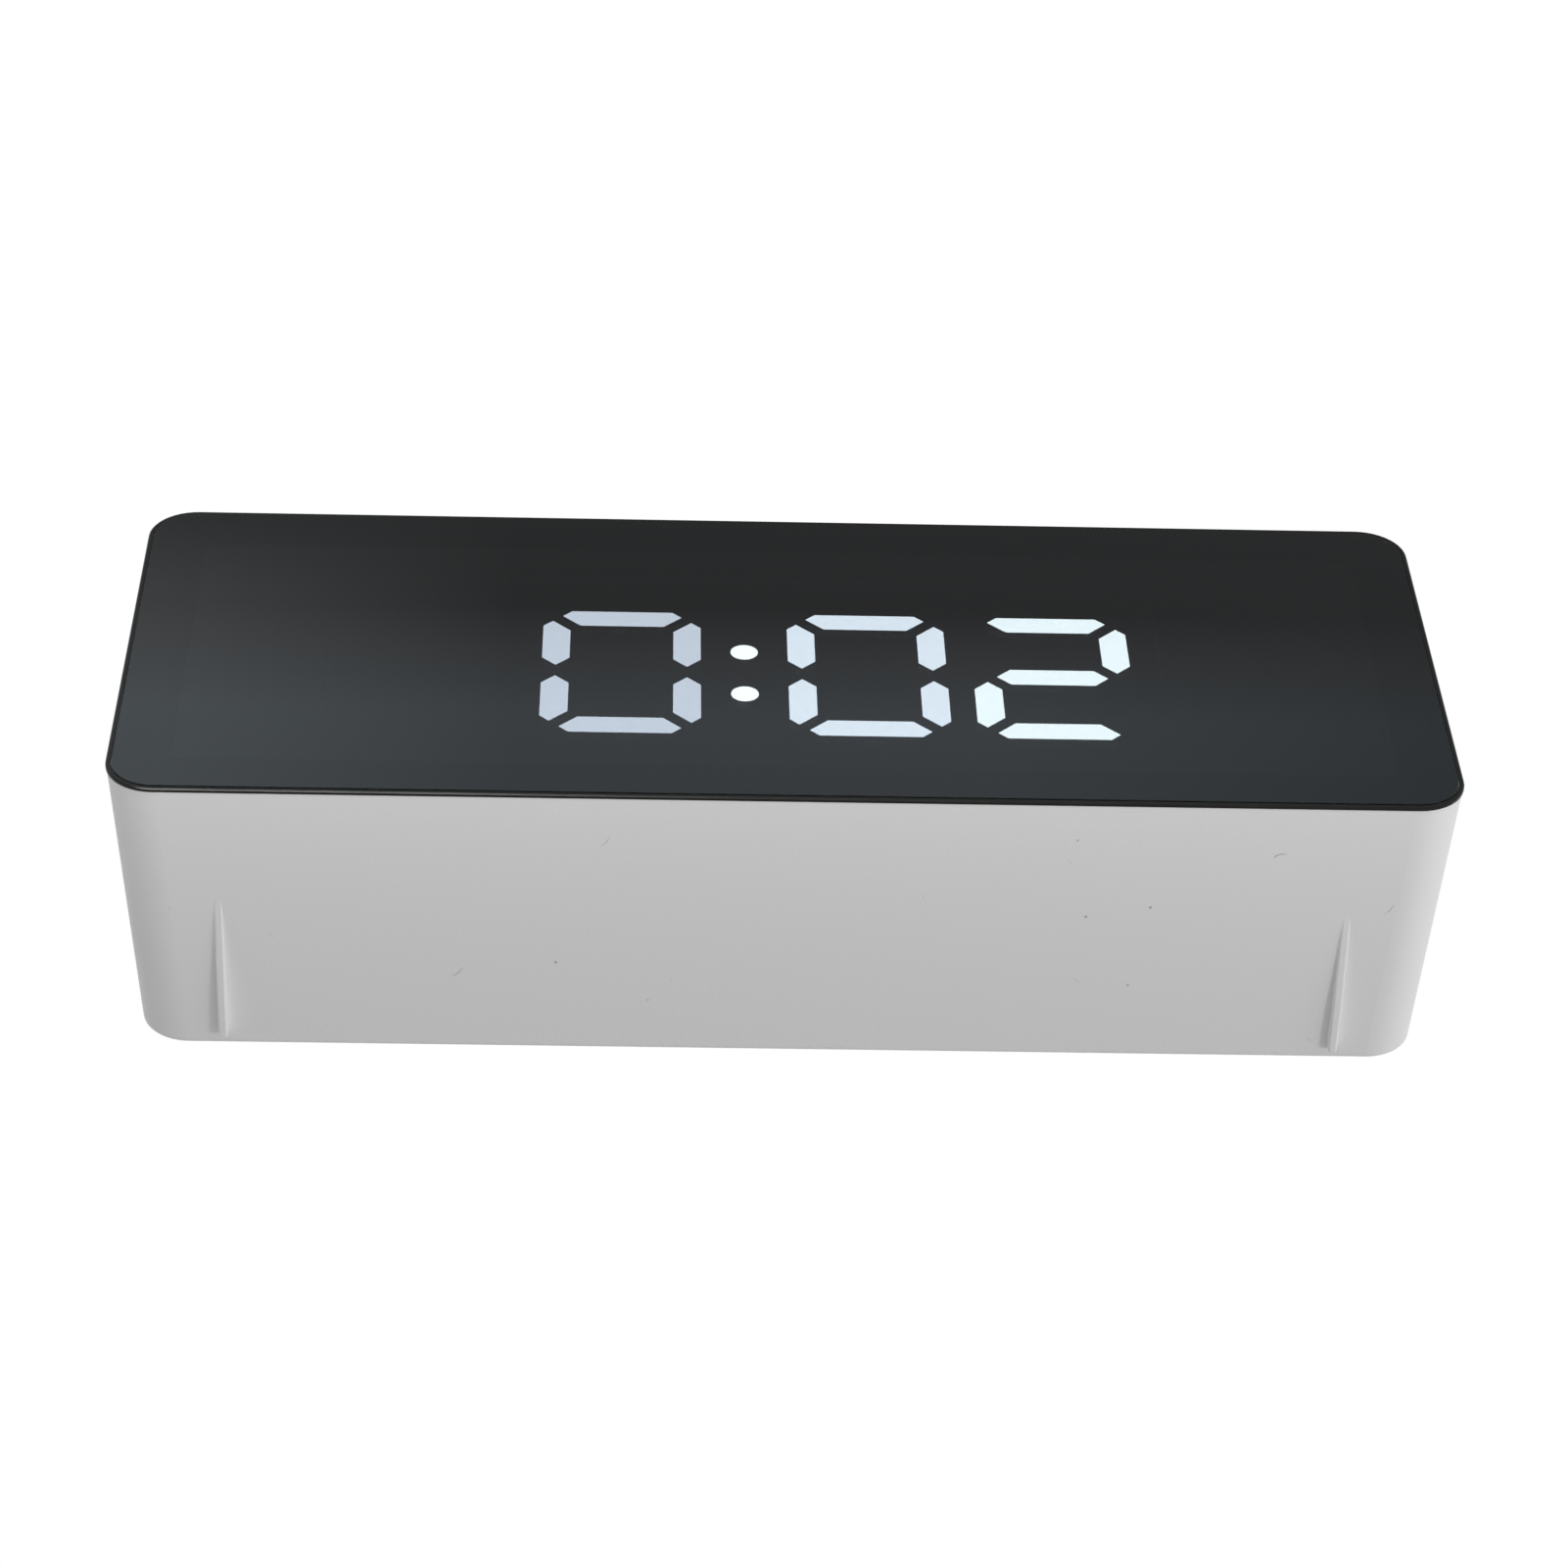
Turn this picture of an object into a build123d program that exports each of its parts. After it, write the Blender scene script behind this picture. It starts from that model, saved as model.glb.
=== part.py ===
from build123d import *
from math import hypot
import os

# Alarm clock with a smoked half-mirror front. X runs to the right as seen from the front, Y runs from
# the mirror to the back and Z is up. The clock stands on the lower edge of its mirror and on two foot
# ribs under its drafted tub. All sizes are in millimetres.

# Front: mirror panel, the thin bezel round it and the tape behind it
PANEL_WIDTH = 141.6
PANEL_HEIGHT = 56.9
PANEL_CORNER_RADIUS = 5.3
PANEL_THICKNESS = 1.0
PANEL_BEVEL = 0.06
PANEL_PROUD = 0.1
PANEL_GAP = 0.06
BEZEL_WIDTH = 0.5
BEZEL_DEPTH = 0.4
BEZEL_BEVEL = 0.12
BEZEL_OVERHANG = 0.1
TAPE_THICKNESS = 0.2
TAPE_WIDTH = 6.0

# Housing tub
OVERALL_DEPTH = 33.5
SIDE_TAPER = 2.25
LEVEL_TAPER = 1.2
WALL = 2.0
BACK_WALL = 2.0
BACK_EDGE_RADIUS = 0.6
LEAST_CORNER_RADIUS = 0.5

# Foot ribs under the tub
RIB_SPACING = 118.7
RIB_WIDTH = 0.95
RIB_START = 14.3
RIB_LEVEL_LENGTH = 5.0
RIB_END_GAP = 1.65
RIB_ROOT = 0.4
RIB_EDGE_RADIUS = 0.25
RIB_SOLE_FACING = 0.5

# Screws
SCREW_RADIUS = 1.0
SCREW_HEAD_RADIUS = 1.9
SCREW_HEAD_HEIGHT = 1.2
SCREW_GRIP = 6.0
SCREW_PILOT_GAP = 0.02
SCREW_PASS_GAP = 0.2
DRIVER_SLOT_WIDTH = 0.5
DRIVER_SLOT_DEPTH = 0.6
BOSS_RADIUS = 2.5
BOSS_WEB = 1.2

# Front frame
FRAME_THICKNESS = 2.0
FRAME_GAP = 0.15
FRAME_SCREW_INSET = 9.0

# Seven-segment display
DISPLAY_X = -4.2
DIGIT_WIDTH = 17.3
DIGIT_HEIGHT = 24.6
DIGIT_PITCH = 20.15
COLON_TO_DIGIT = 13.4
STROKE = 3.0
SEGMENT_GAP = 1.07
TIP_INSET = 1.03
DOT_RADIUS = 1.5
DOT_RISE = 4.25
WINDOW_MARGIN_X = 3.0
WINDOW_MARGIN_Z = 4.2
WINDOW_RADIUS = 1.5
BLOCK_LAP = 1.8
BLOCK_DEPTH = 7.0
DIFFUSER_DEPTH = 2.0
BOARD_THICKNESS = 1.6
BOARD_EDGE = 0.4
DISPLAY_POST_GAP = 0.2
DISPLAY_POST_DROP = 5.0
LED_LENGTH = 2.0
LED_WIDTH = 1.2
LED_HEIGHT = 0.8

# Control strip on the back: four buttons and the alarm switch
RECESS_DEPTH = 1.0
STRIP_X = 27.0
STRIP_RISE = 12.0
STRIP_LENGTH = 58.0
STRIP_HEIGHT = 10.0
STRIP_RADIUS = 3.0
PAD_MARGIN = 2.0
BUTTON_NAMES = ("mode", "set", "up", "down")
BUTTON_FIRST_X = 5.5
BUTTON_PITCH = 11.0
BUTTON_WIDTH = 7.5
BUTTON_HEIGHT = 5.2
BUTTON_RADIUS = 2.4
BUTTON_EDGE_RADIUS = 0.4
BUTTON_SINK = 0.1
BUTTON_GAP = 0.25
BUTTON_TRAVEL = 0.5
FLANGE_REACH = 1.0
FLANGE_THICKNESS = 1.2
FLANGE_GAP = 0.05
TACT_SIDE = 6.0
TACT_HEIGHT = 3.5
PLUNGER_RADIUS = 1.75
PLUNGER_SHOWS = 1.25
PLUNGER_SEAT = 0.5
PLUNGER_GAP = 0.12
PLUNGER_FLOOR_GAP = 0.2

# Snooze bar on the top
SNOOZE_LENGTH = 46.0
SNOOZE_WIDTH = 9.0
SNOOZE_PROUD = 0.8
SNOOZE_TRAVEL = 0.7
SNOOZE_GAP = 0.3
SNOOZE_EDGE_RADIUS = 0.5
SNOOZE_TACT_HEIGHT = 6.0
SNOOZE_TACT_DEPTH = 4.4

# Alarm slide switch
SWITCH_X = 49.0
SWITCH_TRAVEL = 2.0
SWITCH_BODY_LENGTH = 8.6
SWITCH_BODY_WIDTH = 4.4
SWITCH_BODY_HEIGHT = 3.5
SWITCH_STEM = 1.6
SWITCH_STEM_SEAT = 1.0
SWITCH_KNOB_LENGTH = 3.0
SWITCH_KNOB_WIDTH = 2.4
SWITCH_KNOB_SINK = 0.3
SWITCH_SHIELD = 0.8
SWITCH_GAP = 0.3
KNOB_GROOVES = 3
KNOB_GROOVE_WIDTH = 0.3
KNOB_GROOVE_DEPTH = 0.3

# Main board and what it carries
MAIN_BOARD_X = 25.5
MAIN_BOARD_RISE = -2.0
MAIN_BOARD_WIDTH = 60.0
MAIN_BOARD_HEIGHT = 40.0
MAIN_POST_INSET_X = 4.0
MAIN_POST_RISES = (-18.0, 0.0)
INLET_X = 43.0
INLET_RISE = -13.0
INLET_WIDTH = 7.5
INLET_HEIGHT = 2.6
INLET_CORNER = 0.85
INLET_SHELL = 0.3
INLET_BASE = 1.0
INLET_GAP = 0.2
INLET_TONGUE_WIDTH = 3.7
INLET_TONGUE_HEIGHT = 0.6
INLET_RECESS_WIDTH = 11.5
INLET_RECESS_HEIGHT = 7.5
INLET_RECESS_RADIUS = 1.5
BUZZER_X = 13.0
BUZZER_RISE = -10.0
BUZZER_RADIUS = 6.0
BUZZER_HEIGHT = 6.0
BUZZER_PORT_RADIUS = 1.1
BUZZER_PORT_DEPTH = 1.5
BUZZER_EDGE_RADIUS = 0.5
SOUND_HOLE_RADIUS = 0.8
SOUND_RING_RADIUS = 3.0
SOUND_RING_COUNT = 6
CHIP_X = 18.0
CHIP_RISE = -8.0
CHIP_LENGTH = 17.9
CHIP_WIDTH = 7.5
CHIP_HEIGHT = 2.3
CHIP_BEVEL = 0.4
CHIP_LEADS_A_SIDE = 14
CHIP_LEAD_PITCH = 1.27
CHIP_LEAD_WIDTH = 0.4
CHIP_LEAD_REACH = 1.3
CHIP_LEAD_RISE = 1.0
CRYSTAL_X = 18.0
CRYSTAL_RISE = 4.0
CRYSTAL_LENGTH = 10.2
CRYSTAL_WIDTH = 3.8
CRYSTAL_HEIGHT = 3.5
CRYSTAL_FOOT = 0.5
CRYSTAL_FOOT_REACH = 0.4
CAPACITOR_X = 48.0
CAPACITOR_RISE = 8.0
CAPACITOR_RADIUS = 2.5
CAPACITOR_HEIGHT = 7.0
CAPACITOR_GROOVE = 0.3
HEADER_X = 38.0
HEADER_RISE = -4.0
HEADER_PINS = 8
HEADER_PITCH = 2.54
HEADER_PIN_RADIUS = 0.32
HEADER_STRIP_WIDTH = 2.5
HEADER_STRIP_HEIGHT = 2.5

# Battery bay: three AAA cells side by side under a hinged door
BATTERY_X = -33.0
CELL_COUNT = 3
CELL_RADIUS = 5.25
CELL_LENGTH = 44.5
CELL_EDGE_RADIUS = 0.5
NUB_RADIUS = 1.9
NUB_LENGTH = 1.0
CELL_GAP = 0.6
CELL_COVER_GAP = 0.4
BAY_GAP = 0.5
BAY_WALL = 1.6
BAY_SADDLE_WIDTH = 1.0
BAY_SADDLE_DROP = 2.6
SPRING_LENGTH = 5.0
SPRING_BASE_RADIUS = 3.4
SPRING_TOP_RADIUS = 2.2
SPRING_TURNS = 3
SPRING_WIRE_RADIUS = 0.3
CONTACT_THICKNESS = 0.4
CONTACT_SIDE = 9.0
CONTACT_BUMP_RADIUS = 1.5
CONTACT_BUMP = 0.3
CONTACT_TOUCH = 0.02
TAG_WIDTH = 2.4
TAG_REACH = 1.6
TAG_GAP = 0.1
LEAD_RADIUS = 0.6
LEAD_BEND = 2.0
DOOR_THICKNESS = 1.5
DOOR_SINK = 0.1
DOOR_LEDGE = 2.0
DOOR_GAP = 0.3
DOOR_SEAT_GAP = 0.1
DOOR_RADIUS = 1.5
LEDGE_DEPTH = 2.2
HINGE_BARREL_RADIUS = 1.0
HINGE_PIN_RADIUS = 0.6
HINGE_PIN_REACH = 1.3
HINGE_PIN_GAP = 0.08
LATCH_WIDTH = 8.0
LATCH_LEG = 1.0
LATCH_SPACE = 1.0
LATCH_DROP = 4.5
LATCH_GAP = 0.4

# Depths along Y, from the mirror face to the back
FRONT_Y = -OVERALL_DEPTH / 2
BACK_Y = OVERALL_DEPTH / 2
BEZEL_FRONT_Y = FRONT_Y + PANEL_PROUD
BEZEL_BACK_Y = BEZEL_FRONT_Y + BEZEL_DEPTH
PANEL_BACK_Y = FRONT_Y + PANEL_THICKNESS
RIM_Y = PANEL_BACK_Y + TAPE_THICKNESS
FRAME_BACK_Y = RIM_Y + FRAME_THICKNESS
BLOCK_BACK_Y = FRAME_BACK_Y + BLOCK_DEPTH
DISPLAY_BOARD_BACK_Y = BLOCK_BACK_Y + BOARD_THICKNESS
INNER_BACK_Y = BACK_Y - BACK_WALL
RECESS_Y = BACK_Y - RECESS_DEPTH
PAD_Y = RECESS_Y - BACK_WALL
FLANGE_BACK_Y = PAD_Y - FLANGE_GAP
FLANGE_FRONT_Y = FLANGE_BACK_Y - FLANGE_THICKNESS
TACT_TOP_Y = FLANGE_FRONT_Y - PLUNGER_SHOWS
MAIN_BOARD_BACK_Y = TACT_TOP_Y - TACT_HEIGHT
MAIN_BOARD_FRONT_Y = MAIN_BOARD_BACK_Y - BOARD_THICKNESS
DOOR_BACK_Y = BACK_Y - DOOR_SINK
DOOR_FRONT_Y = DOOR_BACK_Y - DOOR_THICKNESS
LEDGE_Y = DOOR_FRONT_Y - DOOR_SEAT_GAP
CELL_Y = LEDGE_Y - CELL_COVER_GAP - CELL_RADIUS
BAY_FLOOR_Y = CELL_Y - CELL_RADIUS - BAY_GAP
TAG_END_Y = BAY_FLOOR_Y - BAY_WALL - TAG_REACH

# Heights and places that follow from the sizes above
MID_Z = PANEL_HEIGHT / 2
STRIP_Z = MID_Z + STRIP_RISE
MAIN_BOARD_Z = MID_Z + MAIN_BOARD_RISE
INLET_Z = MID_Z + INLET_RISE
BUZZER_Z = MID_Z + BUZZER_RISE
CHIP_Z = MID_Z + CHIP_RISE
CRYSTAL_Z = MID_Z + CRYSTAL_RISE
CAPACITOR_Z = MID_Z + CAPACITOR_RISE
HEADER_Z = MID_Z + HEADER_RISE
PANEL_INSET = BEZEL_WIDTH + PANEL_GAP
FRAME_SCREW_X = PANEL_WIDTH / 2 - FRAME_SCREW_INSET
FRAME_SCREW_RISE = PANEL_HEIGHT / 2 - FRAME_SCREW_INSET
DISPLAY_WIDTH = 2 * (COLON_TO_DIGIT + DIGIT_PITCH) + DIGIT_WIDTH
WINDOW_WIDTH = DISPLAY_WIDTH + 2 * WINDOW_MARGIN_X
WINDOW_HEIGHT = DIGIT_HEIGHT + 2 * WINDOW_MARGIN_Z
BLOCK_WIDTH = WINDOW_WIDTH + 2 * BLOCK_LAP
BLOCK_HEIGHT = WINDOW_HEIGHT + 2 * BLOCK_LAP
DISPLAY_POST_X = BLOCK_WIDTH / 2 + DISPLAY_POST_GAP + BOSS_RADIUS
DISPLAY_POST_RISE = BLOCK_HEIGHT / 2 - DISPLAY_POST_DROP
DISPLAY_BOARD_WIDTH = 2 * (DISPLAY_POST_X + BOSS_RADIUS + BOARD_EDGE)
CELL_PITCH = 2 * CELL_RADIUS + CELL_GAP
CELL_RUN = CELL_LENGTH + SPRING_LENGTH + CONTACT_BUMP + 3 * CONTACT_TOUCH
BAY_LENGTH = CELL_RUN + 2 * CONTACT_THICKNESS
BAY_HEIGHT = CELL_PITCH * (CELL_COUNT - 1) + 2 * (CELL_RADIUS + BAY_GAP)
BAY_LEFT_X = BATTERY_X - BAY_LENGTH / 2
BAY_RIGHT_X = BATTERY_X + BAY_LENGTH / 2
DOOR_LENGTH = BAY_LENGTH + 2 * DOOR_LEDGE
DOOR_HEIGHT = BAY_HEIGHT + 2 * DOOR_LEDGE
DOOR_BOTTOM_Z = MID_Z - DOOR_HEIGHT / 2
DOOR_TOP_Z = MID_Z + DOOR_HEIGHT / 2
HINGE_Y = DOOR_BACK_Y - HINGE_BARREL_RADIUS
HINGE_Z = DOOR_BOTTOM_Z + HINGE_BARREL_RADIUS
LATCH_FRONT_Y = DOOR_FRONT_Y - LATCH_DROP
LATCH_TOP_Z = DOOR_TOP_Z + LATCH_SPACE + LATCH_LEG
LATCH_SWING = hypot(LATCH_TOP_Z - HINGE_Z, HINGE_Y - LATCH_FRONT_Y)
SNOOZE_Y = MAIN_BOARD_FRONT_Y - SNOOZE_TACT_DEPTH / 2


def facing_front(depth):
    """Plane at a depth, with X to the right and Z up, as the clock is seen from the front."""
    return Plane(origin=(0, depth, 0), x_dir=(1, 0, 0), z_dir=(0, -1, 0))


def slab(sketch, start, end):
    """Straight solid of a front-view sketch between two depths."""
    front, back = sorted((start, end))
    return extrude(facing_front(front) * sketch, amount=back - front, dir=(0, 1, 0))


def rod(x, z, radius, start, end):
    """Round rod along the depth."""
    return slab(Pos(x, z) * Circle(radius), start, end)


def brick(x, y, z):
    """Box between the two limits given on each axis."""
    size = [high - low for low, high in (x, y, z)]
    middle = [(high + low) / 2 for low, high in (x, y, z)]
    return Pos(*middle) * Box(*size)


def face_outline(inset=0.0):
    """Outline of the front, moved in by an inset."""
    corner = max(PANEL_CORNER_RADIUS - inset, LEAST_CORNER_RADIUS)
    return Pos(0, MID_Z) * RectangleRounded(PANEL_WIDTH - 2 * inset, PANEL_HEIGHT - 2 * inset, corner)


def drawn_in(depth, taper):
    """How far a side with that taper lies inside the front's outline at a depth."""
    return BEZEL_OVERHANG + taper * (depth - BEZEL_BACK_Y) / (BACK_Y - BEZEL_BACK_Y)


def tub_outline(depth, inset=0.0):
    """Section of the tub at a depth, moved in by an inset."""
    width = PANEL_WIDTH - 2 * (drawn_in(depth, SIDE_TAPER) + inset)
    height = PANEL_HEIGHT - 2 * (drawn_in(depth, LEVEL_TAPER) + inset)
    corner = max(PANEL_CORNER_RADIUS - inset, LEAST_CORNER_RADIUS)
    return Pos(0, MID_Z) * RectangleRounded(width, height, corner)


def tub_solid(front, back, inset=0.0):
    """Drafted block of the tub between two depths, moved in by an inset."""
    half_width = [PANEL_WIDTH / 2 - drawn_in(depth, SIDE_TAPER) - inset for depth in (front, back)]
    foot = [drawn_in(depth, LEVEL_TAPER) + inset for depth in (front, back)]
    head = [PANEL_HEIGHT - z for z in foot]
    plan = make_face(Polyline(
        (-half_width[0], front), (half_width[0], front), (half_width[1], back), (-half_width[1], back), close=True
    ))
    side = make_face(Polyline((front, foot[0]), (front, head[0]), (back, head[1]), (back, foot[1]), close=True))
    block = extrude(Pos(0, 0, -WALL) * plan, amount=PANEL_HEIGHT + 2 * WALL)
    side_plane = Plane(origin=(-PANEL_WIDTH, 0, 0), x_dir=(0, 1, 0), z_dir=(1, 0, 0))
    block &= extrude(side_plane * side, amount=2 * PANEL_WIDTH, dir=(1, 0, 0))
    long_edges = [edge for edge in block.edges() if edge.bounding_box().size.Y > (back - front) / 2]
    return fillet(long_edges, max(PANEL_CORNER_RADIUS - inset, LEAST_CORNER_RADIUS))


def inner_top(depth):
    """Height of the inside of the top wall at a depth."""
    return PANEL_HEIGHT - drawn_in(depth, LEVEL_TAPER) - WALL


def four(x, rise):
    """Four places about the middle of the mirror."""
    return [(sx * x, MID_Z + sz * rise) for sx in (-1, 1) for sz in (-1, 1)]


FRAME_SCREW_PLACES = four(FRAME_SCREW_X, FRAME_SCREW_RISE)
DISPLAY_SCREW_PLACES = [(DISPLAY_X + x, z) for x, z in four(DISPLAY_POST_X, DISPLAY_POST_RISE)]
MAIN_SCREW_PLACES = [
    (MAIN_BOARD_X + side * (MAIN_BOARD_WIDTH / 2 - MAIN_POST_INSET_X), z)
    for side in (-1, 1)
    for z in (MID_Z + rise for rise in MAIN_POST_RISES)
]
BUTTON_PLACES = {name: BUTTON_FIRST_X + i * BUTTON_PITCH for i, name in enumerate(BUTTON_NAMES)}
CELL_HEIGHTS = [MID_Z + (i - (CELL_COUNT - 1) / 2) * CELL_PITCH for i in range(CELL_COUNT)]


# Screws

def driver_cross(x, z, seat, way):
    """Cross recess in a screw head whose top is at the seat."""
    arms = Rectangle(2 * SCREW_RADIUS, DRIVER_SLOT_WIDTH) + Rectangle(DRIVER_SLOT_WIDTH, 2 * SCREW_RADIUS)
    return slab(Pos(x, z) * arms, seat, seat + way * DRIVER_SLOT_DEPTH)


def pan_screw(x, z, seat, tip):
    """Pan-head screw whose head rests on the seat and whose shank ends at the tip."""
    way = 1 if tip > seat else -1
    top = seat - way * SCREW_HEAD_HEIGHT
    head = rod(x, z, SCREW_HEAD_RADIUS, top, seat)
    crown = head.edges().sort_by(Axis.Y)[0 if way > 0 else -1]
    head = fillet(crown, SCREW_HEAD_HEIGHT / 2)
    return head + rod(x, z, SCREW_RADIUS, seat, tip) - driver_cross(x, z, top, way)


def countersunk_head(x, z, grow=0.0):
    """Cone of a countersunk head that lies flush with the front of the frame."""
    rise = SCREW_HEAD_RADIUS - SCREW_RADIUS
    wide = facing_front(RIM_Y) * Pos(x, z) * Circle(SCREW_HEAD_RADIUS + grow)
    narrow = facing_front(RIM_Y + rise) * Pos(x, z) * Circle(SCREW_RADIUS + grow)
    return loft([wide, narrow], ruled=True)


def countersunk_screw(x, z):
    """Frame screw, flush with the front of the frame."""
    shank = rod(x, z, SCREW_RADIUS, RIM_Y, FRAME_BACK_Y + SCREW_GRIP)
    return shank + countersunk_head(x, z) - driver_cross(x, z, RIM_Y, 1)


# Mirror, tape and frame

def mirror_panel():
    """Smoked half-mirror sheet with a fine bevel round its face."""
    sheet = slab(face_outline(PANEL_INSET), FRONT_Y, PANEL_BACK_Y)
    return chamfer(sheet.faces().sort_by(Axis.Y)[0].edges(), PANEL_BEVEL)


def mirror_bezel():
    """Thin black ring round the mirror that caps the rim of the tub."""
    plate = slab(face_outline(), BEZEL_FRONT_Y, BEZEL_BACK_Y)
    plate = chamfer(plate.faces().sort_by(Axis.Y)[0].edges(), BEZEL_BEVEL)
    return plate - slab(face_outline(BEZEL_WIDTH), BEZEL_FRONT_Y, BEZEL_BACK_Y)


def panel_tape():
    """Ring of double-sided tape between the mirror, the rebate of the tub and the frame."""
    ring = face_outline(PANEL_INSET) - face_outline(PANEL_INSET + TAPE_WIDTH)
    return slab(ring, PANEL_BACK_Y, RIM_Y)


def front_frame():
    """Plate in the mouth of the tub, with the display window and posts for the display board."""
    window = Pos(DISPLAY_X, MID_Z) * RectangleRounded(WINDOW_WIDTH, WINDOW_HEIGHT, WINDOW_RADIUS)
    frame = slab(tub_outline(FRAME_BACK_Y, WALL + FRAME_GAP) - window, RIM_Y, FRAME_BACK_Y)
    for x, z in DISPLAY_SCREW_PLACES:
        frame += rod(x, z, BOSS_RADIUS, FRAME_BACK_Y, BLOCK_BACK_Y)
        frame -= rod(x, z, SCREW_RADIUS + SCREW_PILOT_GAP, BLOCK_BACK_Y - SCREW_GRIP, BLOCK_BACK_Y)
    for x, z in FRAME_SCREW_PLACES:
        frame -= rod(x, z, SCREW_RADIUS + SCREW_PASS_GAP, RIM_Y, FRAME_BACK_Y)
        frame -= countersunk_head(x, z, SCREW_PASS_GAP)
    return frame


# Display

def bar_points(length, start_tip, end_tip):
    """Bar with 45 degree points: along the first axis, its outer edge at zero on the second."""
    return [
        (0, -start_tip),
        (start_tip, 0),
        (length - end_tip, 0),
        (length, -end_tip),
        (length - STROKE + end_tip, -STROKE),
        (STROKE - start_tip, -STROKE),
    ]


def digit_segments():
    """Corner points of the seven segments about the middle of a digit."""
    half_width = DIGIT_WIDTH / 2
    half_height = DIGIT_HEIGHT / 2
    half_top = half_width - TIP_INSET - SEGMENT_GAP
    half_middle = half_width - STROKE / 2 - SEGMENT_GAP
    rise = half_height - TIP_INSET - 2 * SEGMENT_GAP
    side = [(-half_width - d, SEGMENT_GAP + a) for a, d in bar_points(rise, STROKE / 2, TIP_INSET)]
    top = [(a - half_top, half_height + d) for a, d in bar_points(2 * half_top, TIP_INSET, TIP_INSET)]
    middle = bar_points(2 * half_middle, STROKE / 2, STROKE / 2)
    return {
        "top": top,
        "upper_left": side,
        "upper_right": [(-x, z) for x, z in side],
        "middle": [(a - half_middle, STROKE / 2 + d) for a, d in middle],
        "lower_left": [(x, -z) for x, z in side],
        "lower_right": [(-x, -z) for x, z in side],
        "bottom": [(x, -z) for x, z in top],
    }


SEGMENTS = digit_segments()
ZERO = [name for name in SEGMENTS if name != "middle"]
TWO = [name for name in SEGMENTS if name not in ("upper_left", "lower_right")]
DIGITS = {
    "blank_digit": (-COLON_TO_DIGIT - DIGIT_PITCH, []),
    "hours_digit": (-COLON_TO_DIGIT, ZERO),
    "tens_digit": (COLON_TO_DIGIT, ZERO),
    "minutes_digit": (COLON_TO_DIGIT + DIGIT_PITCH, TWO),
}


def segment_face(name, digit_x):
    """Front-view face of one segment of the digit at a place along the display."""
    corners = [(DISPLAY_X + digit_x + x, MID_Z + z) for x, z in SEGMENTS[name]]
    return make_face(Polyline(*corners, close=True))


def colon_faces():
    """Front-view faces of the two dots."""
    return [Pos(DISPLAY_X, MID_Z + side * DOT_RISE) * Circle(DOT_RADIUS) for side in (-1, 1)]


def all_light_faces():
    """Every segment of every digit, and the dots."""
    faces = [segment_face(name, x) for x, lit in DIGITS.values() for name in SEGMENTS]
    return faces + colon_faces()


def diffusers(faces):
    """Light diffusers that fill the front of their wells."""
    return Compound([slab(face, FRAME_BACK_Y, FRAME_BACK_Y + DIFFUSER_DEPTH).solid() for face in faces])


def display_block():
    """Black block with a light well through it behind every segment and dot."""
    outline = Pos(DISPLAY_X, MID_Z) * RectangleRounded(BLOCK_WIDTH, BLOCK_HEIGHT, WINDOW_RADIUS)
    return slab(outline, FRAME_BACK_Y, BLOCK_BACK_Y) - [
        slab(face, FRAME_BACK_Y, BLOCK_BACK_Y) for face in all_light_faces()
    ]


def display_board():
    """Board that closes the back of the display block and is screwed to the frame's posts."""
    outline = Pos(DISPLAY_X, MID_Z) * Rectangle(DISPLAY_BOARD_WIDTH, BLOCK_HEIGHT)
    board = slab(outline, BLOCK_BACK_Y, DISPLAY_BOARD_BACK_Y)
    return board - [
        rod(x, z, SCREW_RADIUS + SCREW_PASS_GAP, BLOCK_BACK_Y, DISPLAY_BOARD_BACK_Y)
        for x, z in DISPLAY_SCREW_PLACES
    ]


def segment_leds():
    """One small light at the bottom of every well."""
    lights = []
    for face in all_light_faces():
        box = face.bounding_box()
        upright = box.size.Y > box.size.X
        body = Rectangle(LED_WIDTH, LED_LENGTH) if upright else Rectangle(LED_LENGTH, LED_WIDTH)
        middle = box.center()
        lights.append(slab(Pos(middle.X, middle.Y) * body, BLOCK_BACK_Y - LED_HEIGHT, BLOCK_BACK_Y).solid())
    return Compound(lights)


# Housing

def foot_rib(x):
    """Wedge under the tub that fades in towards the front and stands level at the back."""
    start = FRONT_Y + RIB_START
    end = BACK_Y - RIB_END_GAP
    level = end - RIB_LEVEL_LENGTH
    rise = drawn_in(start, LEVEL_TAPER)
    tip = start - (level - start) * RIB_ROOT / rise
    profile = Polyline(
        (tip, rise + RIB_ROOT), (level, 0), (end, 0), (end, drawn_in(end, LEVEL_TAPER) + RIB_ROOT), close=True
    )
    side_plane = Plane(origin=(x - RIB_WIDTH / 2, 0, 0), x_dir=(0, 1, 0), z_dir=(1, 0, 0))
    rib = extrude(side_plane * make_face(profile), amount=RIB_WIDTH, dir=(1, 0, 0))
    heel = rib.edges().filter_by(Axis.Z).sort_by(Axis.Y)[-2:]
    rib = fillet(heel, RIB_WIDTH / 2 - RIB_EDGE_RADIUS / 2)
    soles = [face for face in rib.faces() if face.normal_at(face.center()).Z < -RIB_SOLE_FACING]
    crest = [edge for sole in soles for edge in sole.edges() if abs(edge.center().X - x) > RIB_EDGE_RADIUS / 2]
    return fillet(crest, RIB_EDGE_RADIUS)


def pad_behind(x, z, width, height, radius):
    """Thickening inside the back wall behind a recess."""
    grown = RectangleRounded(width + 2 * PAD_MARGIN, height + 2 * PAD_MARGIN, radius + PAD_MARGIN)
    return slab(Pos(x, z) * grown, PAD_Y, INNER_BACK_Y)


def bay_outline(grow):
    """Front-view outline of the battery bay."""
    return Pos(BATTERY_X, MID_Z) * Rectangle(BAY_LENGTH + 2 * grow, BAY_HEIGHT + 2 * grow)


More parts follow.
